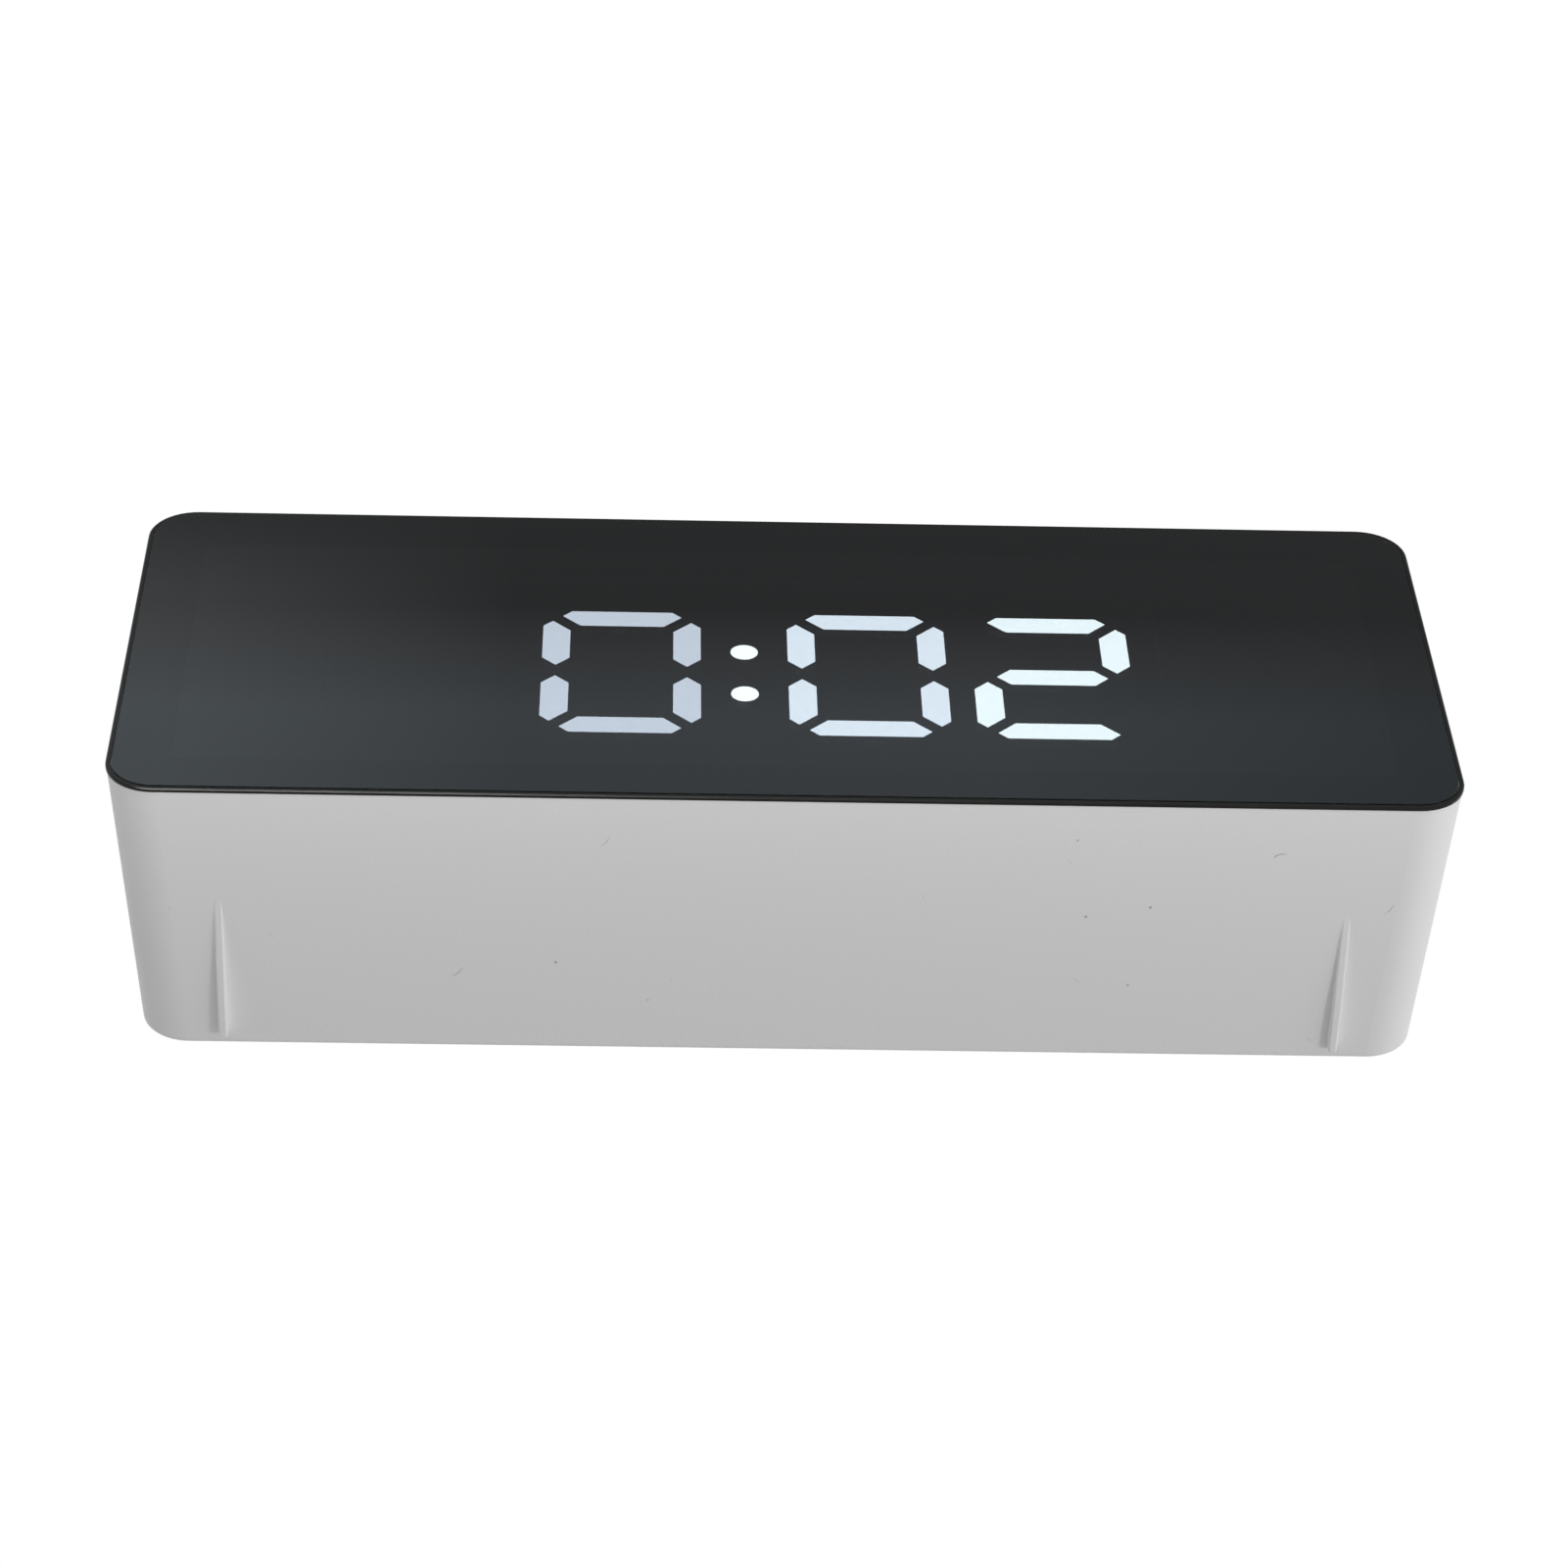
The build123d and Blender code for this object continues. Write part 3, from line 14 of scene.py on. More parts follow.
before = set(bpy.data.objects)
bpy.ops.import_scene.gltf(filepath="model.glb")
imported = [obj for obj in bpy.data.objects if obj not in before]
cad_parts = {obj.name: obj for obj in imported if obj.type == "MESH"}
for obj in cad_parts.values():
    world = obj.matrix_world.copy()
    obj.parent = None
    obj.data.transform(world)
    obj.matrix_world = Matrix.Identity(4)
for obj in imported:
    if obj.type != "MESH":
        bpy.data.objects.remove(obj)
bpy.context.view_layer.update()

LOG = logging.getLogger("alarm_clock")
Colour = tuple[float, float, float]
Point = tuple[float, float, float]
Span = tuple[float, float]
Socket = bpy.types.NodeSocket

WHITE: Colour = (1.0, 1.0, 1.0)
CLOCK_MIDDLE: Point = (0.0, 0.0, 0.028)


def rgba(colour: Colour) -> tuple[float, float, float, float]:
    """Adds full opacity to a colour."""
    return (*colour, 1.0)


def new_material(name: str) -> bpy.types.Material:
    """Makes a material that is ready for wiring."""
    material = bpy.data.materials.new(name)
    material.use_nodes = True
    return material


def flat_sheet(name: str, half: float) -> bpy.types.Object:
    """Makes a square sheet about the origin and puts it into the scene.

    Args:
        name: Name of the sheet.
        half: Half its width, in metres.

    Returns:
        The sheet, with its face upwards.
    """
    corners = [(-half, -half, 0.0), (half, -half, 0.0), (half, half, 0.0), (-half, half, 0.0)]
    mesh = bpy.data.meshes.new(name)
    mesh.from_pydata(corners, [], [(0, 1, 2, 3)])
    sheet = bpy.data.objects.new(name, mesh)
    bpy.context.scene.collection.objects.link(sheet)
    return sheet


class Wiring:
    """Short words for wiring the nodes of one material or of the world."""

    def __init__(self, node_tree: bpy.types.NodeTree) -> None:
        """Empties the tree and keeps it.

        Args:
            node_tree: Tree of the material or world.
        """
        self.tree = node_tree
        self.tree.nodes.clear()

    def node(self, kind: str, **settings: Any) -> bpy.types.Node:
        """Adds a node and sets its properties.

        Args:
            kind: Node type.
            **settings: Properties by name.

        Returns:
            The node.
        """
        made = self.tree.nodes.new(kind)
        for name, value in settings.items():
            setattr(made, name, value)
        return made

    def link(self, source: Socket, target: Socket) -> None:
        """Links two sockets."""
        self.tree.links.new(source, target)

    def surface(self, shade: Socket) -> None:
        """Makes a shader socket the surface of the material."""
        self.link(shade, self.node("ShaderNodeOutputMaterial").inputs["Surface"])

    def shader(self) -> bpy.types.Node:
        """Adds the one shader of a solid's surface.

        Returns:
            The shader node.
        """
        made = self.node("ShaderNodeBsdfPrincipled")
        self.surface(made.outputs["BSDF"])
        return made

    def place(self) -> Socket:
        """Position in the piece's own frame."""
        return self.node("ShaderNodeTexCoord").outputs["Object"]

    def axes(self, place: Socket) -> dict[str, Socket]:
        """Splits a position into its three values.

        Args:
            place: Position socket.

        Returns:
            Value sockets by the names X, Y and Z.
        """
        made = self.node("ShaderNodeSeparateXYZ")
        self.link(place, made.inputs["Vector"])
        return {axis: made.outputs[axis] for axis in "XYZ"}

    def stretch(self, place: Socket, scale: Point) -> Socket:
        """Scales positions along each axis.

        Args:
            place: Position socket.
            scale: Factor for each axis.

        Returns:
            Scaled position socket.
        """
        made = self.node("ShaderNodeMapping")
        made.inputs["Scale"].default_value = scale
        self.link(place, made.inputs["Vector"])
        return made.outputs["Vector"]

    def noise(self, place: Socket, scale: float, detail: float) -> Socket:
        """Soft noise between zero and one.

        Args:
            place: Position socket.
            scale: Patches in a metre.
            detail: Octaves.

        Returns:
            Value socket.
        """
        made = self.node("ShaderNodeTexNoise")
        made.inputs["Scale"].default_value = scale
        made.inputs["Detail"].default_value = detail
        self.link(place, made.inputs["Vector"])
        return made.outputs["Fac"]

    def cells(self, place: Socket, scale: float) -> Socket:
        """Distance to scattered points.

        Args:
            place: Position socket.
            scale: Points in a metre.

        Returns:
            Distance socket.
        """
        made = self.node("ShaderNodeTexVoronoi")
        made.inputs["Scale"].default_value = scale
        self.link(place, made.inputs["Vector"])
        return made.outputs["Distance"]

    def waves(self, place: Socket, scale: float) -> Socket:
        """Crossed bands of a weave.

        Args:
            place: Position socket.
            scale: Bands in a metre.

        Returns:
            Height socket.
        """
        bands = []
        for axis in ("X", "Z"):
            made = self.node("ShaderNodeTexWave", bands_direction=axis)
            made.inputs["Scale"].default_value = scale
            self.link(place, made.inputs["Vector"])
            bands.append(made.outputs["Fac"])
        return self.math("MAXIMUM", *bands)

    def spread(
        self, value: Socket, low: float, high: float, to_low: float, to_high: float
    ) -> Socket:
        """Maps a range of values to another.

        Args:
            value: Value socket.
            low: Start of the range.
            high: End of the range.
            to_low: Result at the start.
            to_high: Result at the end.

        Returns:
            Value socket.
        """
        made = self.node("ShaderNodeMapRange")
        made.inputs["From Min"].default_value = low
        made.inputs["From Max"].default_value = high
        made.inputs["To Min"].default_value = to_low
        made.inputs["To Max"].default_value = to_high
        self.link(value, made.inputs["Value"])
        return made.outputs["Result"]

    def math(self, operation: str, first: Socket, second: Socket | float) -> Socket:
        """Joins two values.

        Args:
            operation: Name of the operation.
            first: Value socket.
            second: Value socket or number.

        Returns:
            Value socket.
        """
        made = self.node("ShaderNodeMath", operation=operation)
        self.link(first, made.inputs[0])
        if isinstance(second, float):
            made.inputs[1].default_value = second
        else:
            self.link(second, made.inputs[1])
        return made.outputs["Value"]

    def mix_colour(self, factor: Socket, first: Socket | Colour, second: Socket | Colour) -> Socket:
        """Mixes two colours.

        Args:
            factor: Share of the second colour.
            first: Colour socket or colour.
            second: Colour socket or colour.

        Returns:
            Colour socket.
        """
        made = self.node("ShaderNodeMix", data_type="RGBA")
        self.link(factor, made.inputs["Factor"])
        for name, colour in (("A", first), ("B", second)):
            socket = next(s for s in made.inputs if s.name == name and s.type == "RGBA")
            if isinstance(colour, tuple):
                socket.default_value = rgba(colour)
            else:
                self.link(colour, socket)
        return next(s for s in made.outputs if s.type == "RGBA")

    def scale_colour(self, colour: Socket, factor: Socket) -> Socket:
        """Makes a colour lighter or darker.

        Args:
            colour: Colour socket.
            factor: Factor for all its channels.

        Returns:
            Colour socket.
        """
        made = self.node("ShaderNodeVectorMath", operation="SCALE")
        self.link(colour, made.inputs["Vector"])
        self.link(factor, made.inputs["Scale"])
        return made.outputs["Vector"]

    def mix_shaders(self, factor: Socket, first: Socket, second: Socket) -> Socket:
        """Mixes two shaders.

        Args:
            factor: Share of the second shader.
            first: Shader socket.
            second: Shader socket.

        Returns:
            Shader socket.
        """
        made = self.node("ShaderNodeMixShader")
        self.link(factor, made.inputs["Fac"])
        self.link(first, made.inputs[1])
        self.link(second, made.inputs[2])
        return made.outputs["Shader"]

    def bump(self, height: Socket, strength: float, distance: float) -> Socket:
        """Turns a height into a relief.

        Args:
            height: Height socket.
            strength: Strength of the relief.
            distance: Height of one unit, in metres.

        Returns:
            Normal socket.
        """
        made = self.node("ShaderNodeBump")
        made.inputs["Strength"].default_value = strength
        made.inputs["Distance"].default_value = distance
        self.link(height, made.inputs["Height"])
        return made.outputs["Normal"]


@dataclass(frozen=True)
class Lint:
    """Specks and short curled hairs of dust on a handled surface. Sizes are in metres.

    Args:
        colour: Colour of the dust.
        speck_room: Room that one speck has.
        speck_size: Where a speck starts to fade and where it ends, from its middle.
        speck_cover: How fully a speck hides the surface.
        patch: Size of the patches on which specks gather.
        patch_edge: Levels of the patches between which specks come up.
        hair_room: Room that one hair has.
        hair_reach: Where a hair starts to fade and where it ends, from its middle.
        hair_cover: How fully a hair hides the surface.
        curl: Size of the curls.
        curl_line: Level of the curls along which a hair runs.
        hair_half: Half the width of a hair, as a share of the curls' height.
        low: Heights between which the dust thins out.
        thin: Share of the cover that is left higher up.
    """

    colour: Colour = (0.12, 0.115, 0.11)
    speck_room: float = 0.0045
    speck_size: Span = (0.0001, 0.00022)
    speck_cover: float = 0.6
    patch: float = 0.011
    patch_edge: Span = (0.56, 0.6)
    hair_room: float = 0.009
    hair_reach: Span = (0.0007, 0.0011)
    hair_cover: float = 0.5
    curl: float = 0.0033
    curl_line: float = 0.5
    hair_half: float = 0.02
    low: Span = (0.003, 0.008)
    thin: float = 0.15

    def mask(self, tree: Wiring, place: Socket) -> Socket:
        """Mask of the dust.

        Args:
            tree: Node tree being wired.
            place: Position socket.

        Returns:
            Socket that rises to the cover on a speck or a hair.
        """
        dust = tree.math("MAXIMUM", self.specks(tree, place), self.hairs(tree, place))
        return tree.math(
            "MULTIPLY", dust, tree.spread(tree.axes(place)["Z"], *self.low, 1.0, self.thin)
        )

    def specks(self, tree: Wiring, place: Socket) -> Socket:
        """Mask of the specks, which gather on patches.

        Args:
            tree: Node tree being wired.
            place: Position socket.

        Returns:
            Socket that rises to the cover on a speck.
        """
        patches = tree.noise(place, 1.0 / self.patch, detail=1.0)
        gathered = tree.spread(patches, *self.patch_edge, 0.0, self.speck_cover)
        return tree.math(
            "MULTIPLY", self.spots(tree, place, self.speck_room, self.speck_size), gathered
        )

    def hairs(self, tree: Wiring, place: Socket) -> Socket:
        """Mask of the hairs: short stretches of curled lines.

        Args:
            tree: Node tree being wired.
            place: Position socket.

        Returns:
            Socket that rises to the cover on a hair.
        """
        curls = tree.noise(place, 1.0 / self.curl, detail=0.0)
        line, half = self.curl_line, self.hair_half
        one_side = tree.spread(curls, line - half, line, 0.0, self.hair_cover)
        other_side = tree.spread(curls, line, line + half, 1.0, 0.0)
        lines = tree.math("MULTIPLY", one_side, other_side)
        return tree.math(
            "MULTIPLY", lines, self.spots(tree, place, self.hair_room, self.hair_reach)
        )

    def spots(self, tree: Wiring, place: Socket, room: float, size: Span) -> Socket:
        """Mask of scattered round spots.

        Args:
            tree: Node tree being wired.
            place: Position socket.
            room: Room that one spot has.
            size: Where a spot starts to fade and where it ends.

        Returns:
            Socket that is one on a spot.
        """
        core, rim = size
        return tree.spread(tree.cells(place, 1.0 / room), core / room, rim / room, 1.0, 0.0)


class Grain(Enum):
    """Kinds of fine relief that a moulded or worked surface carries."""

    MOULDED = "moulded"
    BRUSHED = "brushed"
    WOVEN = "woven"
    SMOOTH = "smooth"


@dataclass(frozen=True)
class Finish:
    """A surface: one shader with a tint that wavers, a worn gloss and a fine relief.

    Args:
        name: Name of the material.
        colour: Linear base colour.
        roughness: Mean roughness.
        metallic: Share of metal.
        grain: Kind of relief.
        grain_size: Width of one grain, in metres.
        relief: Strength of the relief.
        tint_swing: How far the tint wavers from patch to patch.
        gloss_swing: How far the roughness wavers.
        lint: Dust on the surface, if any.
        shine: Specular level.
        patch: Size of the patches, in metres.
        patch_levels: Levels of the patches between which tint and roughness waver.
        brush: Scale of a brushed grain along each axis.
    """

    name: str
    colour: Colour
    roughness: float
    metallic: float = 0.0
    grain: Grain = Grain.MOULDED
    grain_size: float = 0.0004
    relief: float = 0.05
    tint_swing: float = 0.02
    gloss_swing: float = 0.06
    lint: Lint | None = None
    shine: float = 0.5
    patch: float = 0.012
    patch_levels: Span = (0.3, 0.7)
    brush: Point = (0.08, 1.0, 1.0)

    @cache
    def make(self) -> bpy.types.Material:
        """Makes the material once, and hands back the same one after that.

        Returns:
            The material with its nodes wired.
        """
        material = new_material(self.name)
        tree = Wiring(material.node_tree)
        shader = tree.shader()
        shader.inputs["Metallic"].default_value = self.metallic
        shader.inputs["Specular IOR Level"].default_value = self.shine
        place = tree.place()
        patches = tree.noise(place, 1.0 / self.patch, detail=3.0)
        tree.link(self.tint(tree, place, patches), shader.inputs["Base Color"])
        dull = self.roughness + self.gloss_swing
        glossy = self.roughness - self.gloss_swing
        gloss = tree.spread(patches, *self.patch_levels, glossy, dull)
        tree.link(gloss, shader.inputs["Roughness"])
        if self.grain is not Grain.SMOOTH:
            height = self.grain_height(tree, place)
            relief = tree.bump(height, self.relief, self.grain_size)
            tree.link(relief, shader.inputs["Normal"])
        return material

    def tint(self, tree: Wiring, place: Socket, patches: Socket) -> Socket:
        """Colour that wavers from patch to patch, with its dust.

        Args:
            tree: Node tree being wired.
            place: Position socket.
            patches: Socket of the patches' levels.

        Returns:
            Colour socket.
        """
        tint = tree.mix_colour(
            tree.spread(patches, *self.patch_levels, 0.0, 1.0),
            self.shade(1.0 - self.tint_swing),
            self.shade(1.0 + self.tint_swing),
        )
        if self.lint is None:
            return tint
        return tree.mix_colour(self.lint.mask(tree, place), tint, self.lint.colour)

    def shade(self, factor: float) -> Colour:
        """Scales the base colour, kept within white."""
        return tuple(min(channel * factor, 1.0) for channel in self.colour)

    def grain_height(self, tree: Wiring, place: Socket) -> Socket:
        """Height of the relief.

        Args:
            tree: Node tree being wired.
            place: Position socket.

        Returns:
            Height socket.
        """
        if self.grain is Grain.BRUSHED:
            return tree.noise(tree.stretch(place, self.brush), 1.0 / self.grain_size, detail=2.0)
        if self.grain is Grain.WOVEN:
            return tree.waves(place, 0.5 / self.grain_size)
        return tree.noise(place, 1.0 / self.grain_size, detail=4.0)


@dataclass(frozen=True)
class SmokedMirror:
    """Dark clear sheet whose face mirrors its surroundings and lets lit segments through.

    Args:
        name: Name of the material.
        tint: What one pass through the sheet leaves of the light.
        index: Refractive index.
        roughness: Roughness of the face.
    """

    name: str
    tint: Colour
    index: float
    roughness: float

    def make(self) -> bpy.types.Material:
        """Makes the material with one plain shader.

        Returns:
            The material.
        """
        material = new_material(self.name)
        shader = Wiring(material.node_tree).shader()
        shader.inputs["Base Color"].default_value = rgba(self.tint)
        shader.inputs["Transmission Weight"].default_value = 1.0
        shader.inputs["IOR"].default_value = self.index
        shader.inputs["Roughness"].default_value = self.roughness
        return material


@dataclass(frozen=True)
class LitDiffuser:
    """Milky segment lit from behind.

    Args:
        name: Name of the material.
        colour: Colour of the light.
        strength: Brightness.
        roughness: Roughness of the face.
    """

    name: str
    colour: Colour
    strength: float
    roughness: float = 0.5

    def make(self) -> bpy.types.Material:
        """Makes the material with one plain shader.

        Returns:
            The material.
        """
        material = new_material(self.name)
        shader = Wiring(material.node_tree).shader()
        shader.inputs["Base Color"].default_value = rgba(self.colour)
        shader.inputs["Roughness"].default_value = self.roughness
        shader.inputs["Emission Color"].default_value = rgba(self.colour)
        shader.inputs["Emission Strength"].default_value = self.strength
        return material


# White mouldings
WHITE_SHELL = Finish(
    "satin_white_shell", (0.859, 0.858, 0.859), 0.65,
    grain_size=0.00035, relief=0.06, tint_swing=0.006, lint=Lint(),
)
WHITE_DOOR = Finish(
    "satin_white_door", (0.85, 0.85, 0.847), 0.66,
    grain_size=0.00035, relief=0.06, tint_swing=0.006,
)
WHITE_KEYS = Finish(
    "smooth_white_keys", (0.84, 0.84, 0.838), 0.4,
    grain_size=0.0005, relief=0.03, tint_swing=0.004, gloss_swing=0.02,
)

# Black pieces
BLACK_TAPE = Finish(
    "matt_black_tape", (0.008, 0.008, 0.008), 0.8, grain_size=0.0002, relief=0.1, shine=0.05
)
MASK_BLACK = Finish("mask_black", (0.008, 0.008, 0.008), 0.8, relief=0.06, shine=0.05)
BEZEL_BLACK = Finish(
    "bezel_black", (0.012, 0.012, 0.0105), 0.25, grain_size=0.0002, relief=0.03, shine=0.12
)
BLACK_PLASTIC = Finish("moulded_black", (0.012, 0.012, 0.013), 0.55, relief=0.06)
CHIP_BLACK = Finish("matt_chip", (0.02, 0.02, 0.02), 0.6, grain_size=0.0002, relief=0.1)

# Metals
SCREW_STEEL = Finish(
    "plated_screw", (0.5, 0.5, 0.52), 0.35,
    metallic=1.0, grain=Grain.BRUSHED, grain_size=0.0002,
)
BLACK_STEEL = Finish(
    "black_steel", (0.008, 0.008, 0.008), 0.8,
    grain=Grain.BRUSHED, grain_size=0.0002, shine=0.05,
)
SPRING_STEEL = Finish(
    "plated_spring", (0.55, 0.55, 0.54), 0.3,
    metallic=1.0, grain=Grain.BRUSHED, grain_size=0.0002,
)
BRIGHT_METAL = Finish(
    "drawn_metal", (0.6, 0.6, 0.61), 0.22,
    metallic=1.0, grain=Grain.BRUSHED, grain_size=0.0003,
)
GOLD_PINS = Finish("gilt_pins", (0.75, 0.52, 0.18), 0.25, metallic=1.0, grain=Grain.SMOOTH)
CELL_WRAP = Finish(
    "silver_cell_wrap", (0.68, 0.69, 0.68), 0.34,
    metallic=0.8, grain=Grain.BRUSHED, grain_size=0.0006, tint_swing=0.01, gloss_swing=0.02,
)

# Boards, what sits on them, and leads
CIRCUIT_BOARD = Finish(
    "glass_weave_board", (0.012, 0.11, 0.045), 0.4,
    grain=Grain.WOVEN, grain_size=0.0005, relief=0.06,
)
LED_BODY = Finish("cream_led", (0.75, 0.72, 0.5), 0.25, grain=Grain.SMOOTH)
CAPACITOR_SLEEVE = Finish("shrunk_sleeve", (0.015, 0.03, 0.1), 0.3, grain=Grain.SMOOTH)
RED_WIRE = Finish("red_lead", (0.45, 0.015, 0.012), 0.4)
BLACK_WIRE = Finish("black_lead", (0.015, 0.015, 0.015), 0.4)


def dress(node: str, finish: Finish | SmokedMirror | LitDiffuser) -> None:
    """Gives a solid its finish and reports it.

    Args:
        node: Name of the solid.
        finish: Finish of all its faces.
    """
    material = finish.make()
    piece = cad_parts[node]
    piece.data.materials.clear()
    piece.data.materials.append(material)
    LOG.info("%s wears %s", node, material.name)


@dataclass
class Shell:
    """Tub, door, keys and switch: what shows from the sides and the back.

    Args:
        keys: Names of the keys on the back.
    """

    keys: tuple[str, ...] = ("mode", "set", "up", "down")

    def build(self) -> None:
        """Dresses the shell and what moves in it."""
        dress("housing", WHITE_SHELL)
        dress("battery_door", WHITE_DOOR)
        dress("snooze_bar", WHITE_KEYS)
        dress("snooze_plunger", BLACK_PLASTIC)
        dress("switch_slider", BLACK_PLASTIC)
        for key in self.keys:
            dress(f"{key}_button", WHITE_KEYS)
            dress(f"{key}_plunger", BLACK_PLASTIC)


@dataclass
class Face:
    """Mirror, frame and display.

    Args:
        mirror: Finish of the half-mirror.
        hours: Light of the hours digit.
        tens: Light of the tens digit.
        minutes: Light of the minutes digit.
        dots: Light of the colon.
    """

    mirror: SmokedMirror = SmokedMirror("half_mirror", (0.05, 0.05, 0.05), 1.38, 0.02)
    hours: LitDiffuser = LitDiffuser("lit_hours", (0.76, 0.863, 1.0), 14.9)
    tens: LitDiffuser = LitDiffuser("lit_tens", (0.775, 0.892, 1.0), 19.1)
    minutes: LitDiffuser = LitDiffuser("lit_minutes", (0.822, 0.956, 1.0), 21.4)
    dots: LitDiffuser = LitDiffuser("lit_dots", (0.88, 1.0, 1.0), 23.9)

    def build(self) -> None:
        """Dresses every piece of the face."""
        dress("mirror_panel", self.mirror)
        dress("hours_digit", self.hours)
        dress("tens_digit", self.tens)
        dress("minutes_digit", self.minutes)
        dress("colon_dots", self.dots)
        dress("mirror_bezel", BEZEL_BLACK)
        dress("panel_tape", BLACK_TAPE)
        dress("front_frame", MASK_BLACK)
        dress("frame_screws", BLACK_STEEL)
        dress("display_block", MASK_BLACK)
        dress("unlit_segments", MASK_BLACK)
        dress("display_board", CIRCUIT_BOARD)
        dress("segment_leds", LED_BODY)
        dress("display_screws", SCREW_STEEL)


@dataclass
class Works:
    """Board, power inlet and battery bay.

    Args:
        finishes: Finish of each inner piece by name.
    """

    finishes: dict[str, Finish] = field(default_factory=lambda: {
        "main_board": CIRCUIT_BOARD,
        "board_screws": SCREW_STEEL,
        "controller_chip": CHIP_BLACK,
        "crystal": BRIGHT_METAL,
        "capacitor": CAPACITOR_SLEEVE,
        "header_strips": BLACK_PLASTIC,
        "header_pins": GOLD_PINS,
        "buzzer": BLACK_PLASTIC,
        "tact_switches": BLACK_PLASTIC,
        "switch_body": BRIGHT_METAL,
        "inlet_shell": BRIGHT_METAL,
        "inlet_tongue": BLACK_PLASTIC,
        "battery_cells": CELL_WRAP,
        "battery_springs": SPRING_STEEL,
        "contact_plates": BRIGHT_METAL,
        "plus_lead": RED_WIRE,
        "minus_lead": BLACK_WIRE,
    })

    def build(self) -> None:
        """Dresses the works."""
        for node, finish in self.finishes.items():
            dress(node, finish)


@dataclass(frozen=True)
class Lamp:
    """Soft lamp with a flat square or oblong face.

    Polished faces don't show it, unless it is meant for the glint on one piece.

    Args:
        name: Name of the lamp.
        place: Where it hangs, in metres.
        size: Width and height of its face, in metres.
        power: Power in watts.
        target: What it looks at.
        only: The one piece on which it glints, if it is meant for that alone.
    """

    name: str
    place: Point
    size: Span
    power: float
    target: Point = CLOCK_MIDDLE
    only: str | None = None

    def hang(self) -> None:
        """Hangs the lamp and turns it to its target."""
        light = bpy.data.lights.new(self.name, "AREA")
        light.shape = "RECTANGLE"
        light.size, light.size_y = self.size
        light.energy = self.power
        holder = bpy.data.objects.new(self.name, light)
        aim = Vector(self.target) - Vector(self.place)
        turn = aim.to_track_quat("-Z", "Y").to_matrix().to_4x4()
        holder.matrix_world = Matrix.Translation(self.place) @ turn
        holder.visible_camera = False
        holder.visible_diffuse = self.only is None
        holder.visible_glossy = self.only is not None
        holder.visible_transmission = False
        bpy.context.scene.collection.objects.link(holder)
        if self.only is not None:
            lit = bpy.data.collections.new(self.name)
            lit.objects.link(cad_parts[self.only])
            holder.light_linking.receiver_collection = lit


@dataclass(frozen=True)
class DarkCard:
    """Graded card that only polished faces see: the dim room above the clock.

    Places across run from left to right, and heights from the near to the far edge of the
    mirror, both in metres from the card's middle.

    Args:
        name: Name of the card.
        distance: How far it hangs from the mirror.
        half: Half its width.
        level: Level of its darkest part.
        band: Heights between which it turns from dark to pale.
        band_across: Places across between which the pale band gains light.
        band_levels: What the pale band adds at these places.
        side: Heights between which the pale left side comes up.
        side_shares: Shares of the left side's light at these heights.
        side_across: Places across between which the left side turns pale.
        side_levels: What the left side adds at these places.
        dark_hue: Hue of the dark part.
        pale_hue: Hue of the pale band.
    """

    name: str = "dark_card"
    distance: float = 0.35
    half: float = 0.3
    level: float = 0.335
    band: Span = (0.008, -0.0115)
    band_across: Span = (0.12, 0.04)
    band_levels: Span = (0.22, 0.46)
    side: Span = (0.0235, 0.0095)
    side_shares: Span = (0.25, 1.0)
    side_across: Span = (-0.05, -0.115)
    side_levels: Span = (0.0, 0.4)
    dark_hue: Colour = (0.97, 1.0, 1.03)
    pale_hue: Colour = (0.88, 1.0, 1.09)

    def hang(self, mirror: Point, eye: Point) -> None:
        """Hangs the card where the mirror shows it to the camera.

        Args:
            mirror: Middle of the mirror's face.
            eye: Where the camera stands.
        """
        out = (Vector(mirror) - Vector(eye)).normalized()
        out.y = -out.y
        rise = out.cross(Vector((1.0, 0.0, 0.0))).normalized()
        turn = Matrix((rise.cross(out), rise, out)).transposed().to_4x4()
        sheet = flat_sheet(self.name, self.half)
        sheet.matrix_world = Matrix.Translation(Vector(mirror) + out * self.distance) @ turn
        sheet.data.materials.append(self.make())
        sheet.visible_camera = False
        sheet.visible_diffuse = False
        sheet.visible_shadow = False

    def make(self) -> bpy.types.Material:
        """Makes the glowing, graded face of the card.

        Returns:
            The material.
        """
        material = new_material(self.name)
        tree = Wiring(material.node_tree)
        axes = tree.axes(tree.place())
        near = tree.spread(axes["Y"], *self.band, 0.0, 1.0)
        gain = tree.spread(axes["X"], *self.band_across, *self.band_levels)
        shown = tree.spread(axes["Y"], *self.side, *self.side_shares)
        left = tree.spread(axes["X"], *self.side_across, *self.side_levels)
        pale = tree.math("MULTIPLY", near, gain)
        side = tree.math("MULTIPLY", shown, left)
        level = tree.math("ADD", tree.math("ADD", pale, side), self.level)
        hue = tree.mix_colour(near, self.dark_hue, self.pale_hue)
        glow = tree.node("ShaderNodeEmission")
        tree.link(tree.scale_colour(hue, level), glow.inputs["Color"])
        tree.surface(glow.outputs["Emission"])
        return material


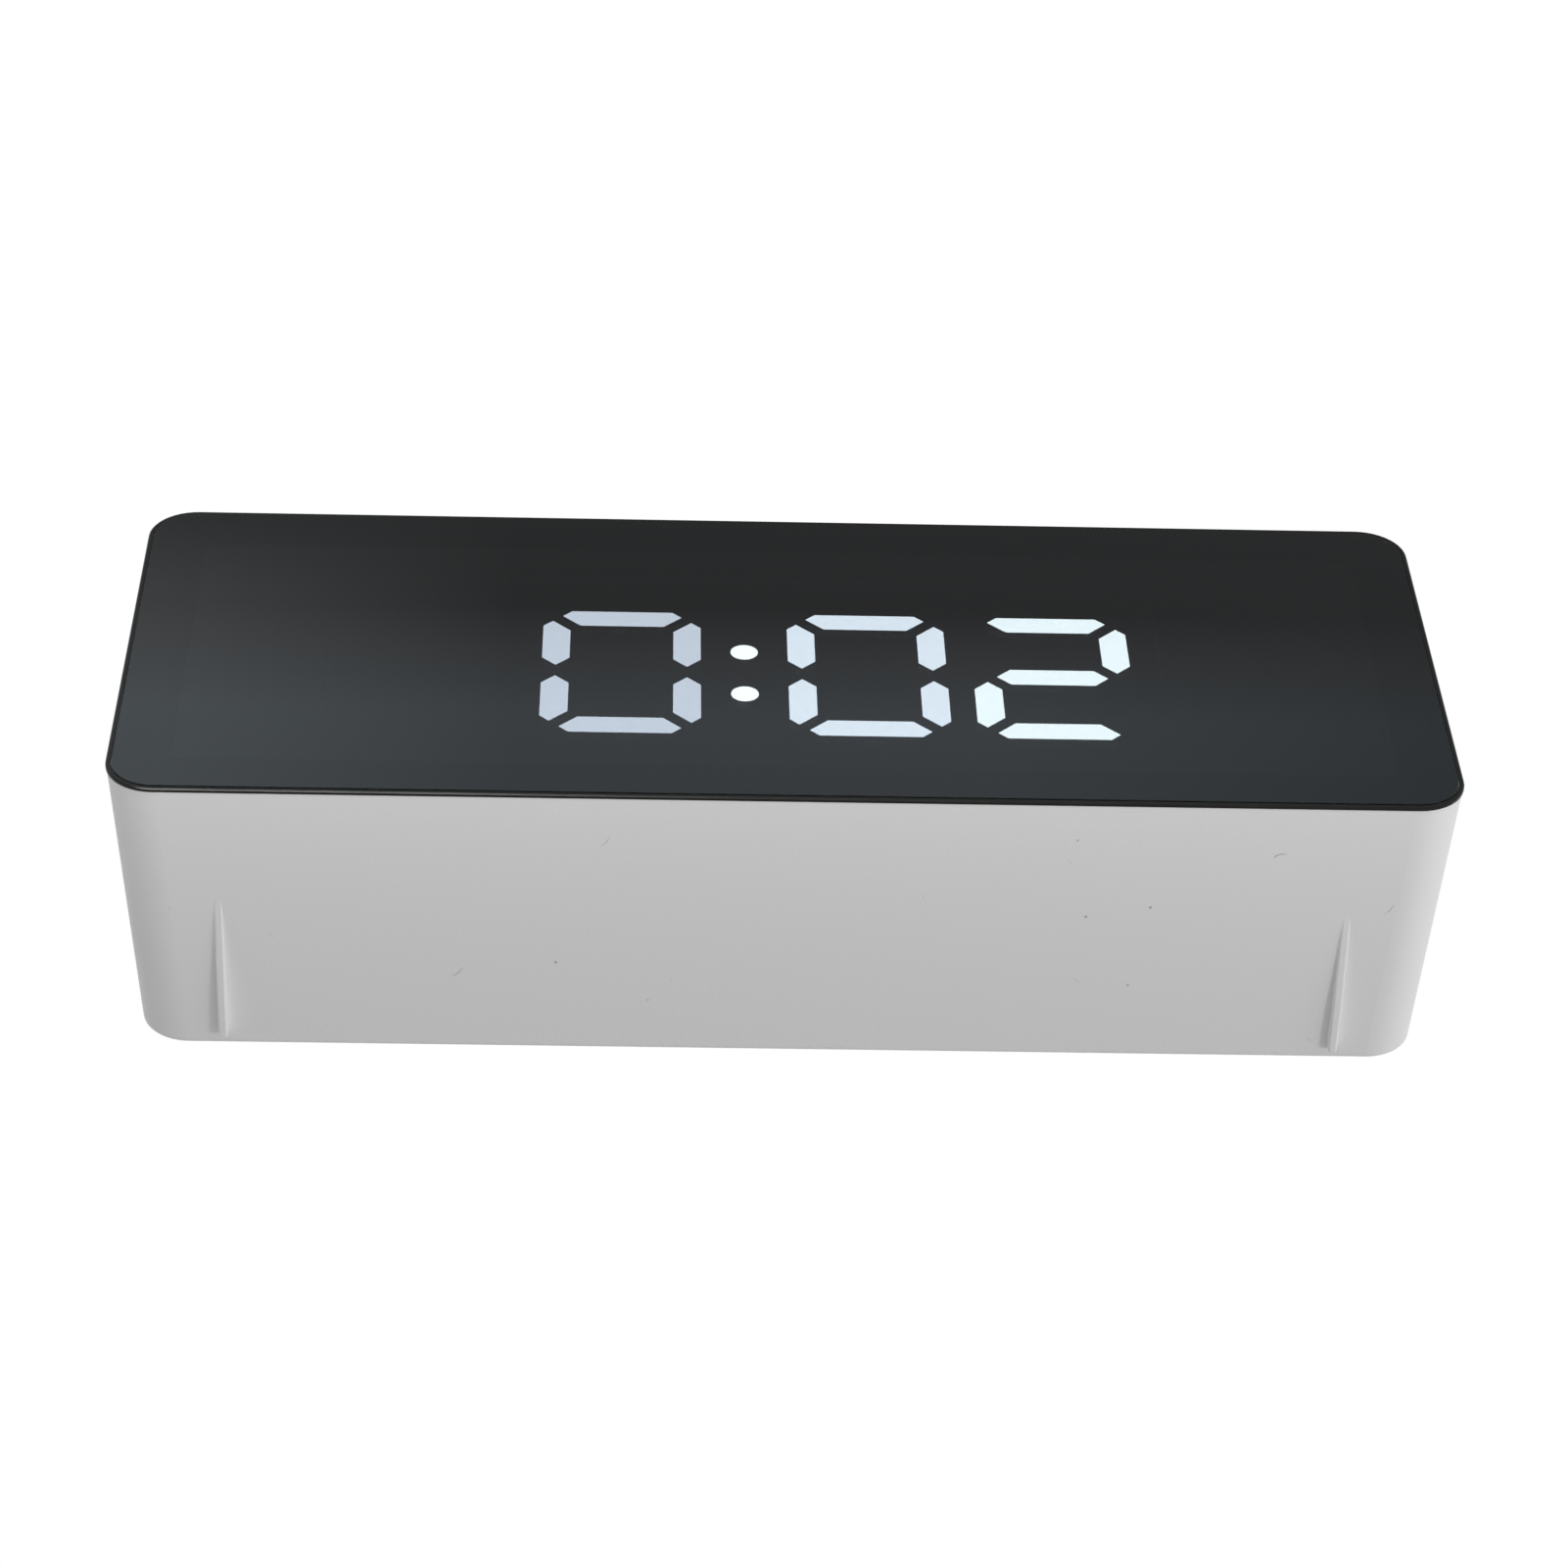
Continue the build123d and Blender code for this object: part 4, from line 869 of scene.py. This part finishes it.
@dataclass(frozen=True)
class Floor:
    """Pale floor that shows from above only and turns plain white away from the clock.

    Args:
        half: Half its width, in metres.
        colour: Colour near the clock, where it takes the shadow.
        fade: Distances from the clock over which it turns white, in metres.
    """

    half: float = 3.0
    colour: Colour = (0.8, 0.8, 0.8)
    fade: Span = (0.12, 0.45)

    def lay(self) -> None:
        """Lays the floor under the clock."""
        ground = flat_sheet("floor", self.half)
        ground.data.materials.append(self.make())
        ground.visible_shadow = False
        ground.visible_diffuse = False
        ground.visible_glossy = False

    def make(self) -> bpy.types.Material:
        """Makes the floor's material.

        Returns:
            The material.
        """
        material = new_material("pale_floor")
        tree = Wiring(material.node_tree)
        matt = tree.node("ShaderNodeBsdfDiffuse")
        matt.inputs["Color"].default_value = rgba(self.colour)
        white = tree.node("ShaderNodeEmission")
        white.inputs["Color"].default_value = rgba(WHITE)
        away = tree.node("ShaderNodeVectorMath", operation="LENGTH")
        tree.link(tree.place(), away.inputs["Vector"])
        far = tree.spread(away.outputs["Value"], *self.fade, 0.0, 1.0)
        above = tree.mix_shaders(far, matt.outputs["BSDF"], white.outputs["Emission"])
        below = tree.node("ShaderNodeNewGeometry").outputs["Backfacing"]
        clear = tree.node("ShaderNodeBsdfTransparent").outputs["BSDF"]
        tree.surface(tree.mix_shaders(below, above, clear))
        return material


@dataclass
class Studio:
    """Camera, world, floor, card and lamps.

    Args:
        eye: Where the camera stands, in metres.
        right: Direction of the picture's right side.
        up: Direction of the picture's top.
        back: Direction away from the view.
        lens: Focal length on the sensor, in millimetres.
        sensor: Width of the sensor, in millimetres.
        depth: Nearest and farthest distance that the camera sees, in metres.
        ambient: Light of the world from the left and from the right.
        mirror_middle: Middle of the mirror's face.
        floor: Floor under the clock.
        card: Card that the mirror shows.
        lamps: Lamps round the clock.
    """

    eye: Point = (-0.015467, -0.278760, -0.395155)
    right: Point = (0.99939, -0.02997, -0.01797)
    up: Point = (-0.01513, -0.83472, 0.55047)
    back: Point = (-0.0315, -0.54986, -0.83466)
    lens: float = 105.56
    sensor: float = 36.0
    depth: Span = (0.01, 50.0)
    ambient: Span = (0.033, 0.732)
    mirror_middle: Point = (0.0, -0.01675, 0.02845)
    floor: Floor = Floor()
    card: DarkCard = DarkCard()
    lamps: tuple[Lamp, ...] = (
        Lamp("side_lamp", (0.45, -0.1, -0.5), (0.08, 0.08), 0.64),
        Lamp("left_lamp", (-0.65, -0.05, -0.02), (0.3, 0.3), 0.75),
        Lamp("front_lamp", (0.02, -0.045, -0.02), (0.3, 0.015), 0.0172, (0.02, -0.01, 0.0)),
        Lamp("top_lamp", (0.25, -0.35, 0.9), (0.8, 0.8), 3.4),
        Lamp("back_lamp", (-0.3, 0.9, 0.5), (0.8, 0.8), 3.4),
        Lamp(
            "edge_lamp", (-0.2, -0.5, -0.31), (0.34, 0.14), 3.9, (0.0, -0.0165, 0.0),
            only="mirror_bezel",
        ),
    )

    def build(self) -> None:
        """Sets up the whole stage."""
        self.set_camera()
        self.light_world()
        self.floor.lay()
        self.card.hang(self.mirror_middle, self.eye)
        for lamp in self.lamps:
            lamp.hang()
        bpy.context.scene.view_settings.view_transform = "Standard"

    def set_camera(self) -> None:
        """Puts the camera at the picture's viewpoint."""
        lens = bpy.data.cameras.new("camera")
        lens.sensor_fit = "HORIZONTAL"
        lens.sensor_width = self.sensor
        lens.lens = self.lens
        lens.clip_start, lens.clip_end = self.depth
        holder = bpy.data.objects.new("camera", lens)
        turn = Matrix((self.right, self.up, self.back)).transposed()
        holder.matrix_world = Matrix.Translation(self.eye) @ turn.to_4x4()
        bpy.context.scene.collection.objects.link(holder)
        bpy.context.scene.camera = holder

    def light_world(self) -> None:
        """Makes a surround that looks white and lights the clock at a plain level."""
        world = bpy.data.worlds.new("surround")
        bpy.context.scene.world = world
        world.use_nodes = True
        tree = Wiring(world.node_tree)
        path = tree.node("ShaderNodeLightPath")
        seen = tree.math("MAXIMUM", path.outputs["Is Camera Ray"], path.outputs["Is Glossy Ray"])
        seen = tree.math("MAXIMUM", seen, path.outputs["Is Transmission Ray"])
        towards = tree.axes(tree.node("ShaderNodeTexCoord").outputs["Generated"])
        ambient = tree.spread(towards["X"], -1.0, 1.0, *self.ambient)
        glow = tree.node("ShaderNodeBackground")
        glow.inputs["Color"].default_value = rgba(WHITE)
        tree.link(tree.math("MAXIMUM", seen, ambient), glow.inputs["Strength"])
        output = tree.node("ShaderNodeOutputWorld")
        tree.link(glow.outputs["Background"], output.inputs["Surface"])


def main() -> None:
    """Builds the clock's looks in order, then the stage."""
    logging.basicConfig(level=logging.INFO, format="%(name)s: %(message)s")
    Shell().build()
    Face().build()
    Works().build()
    Studio().build()


if __name__ == "__main__":
    main()
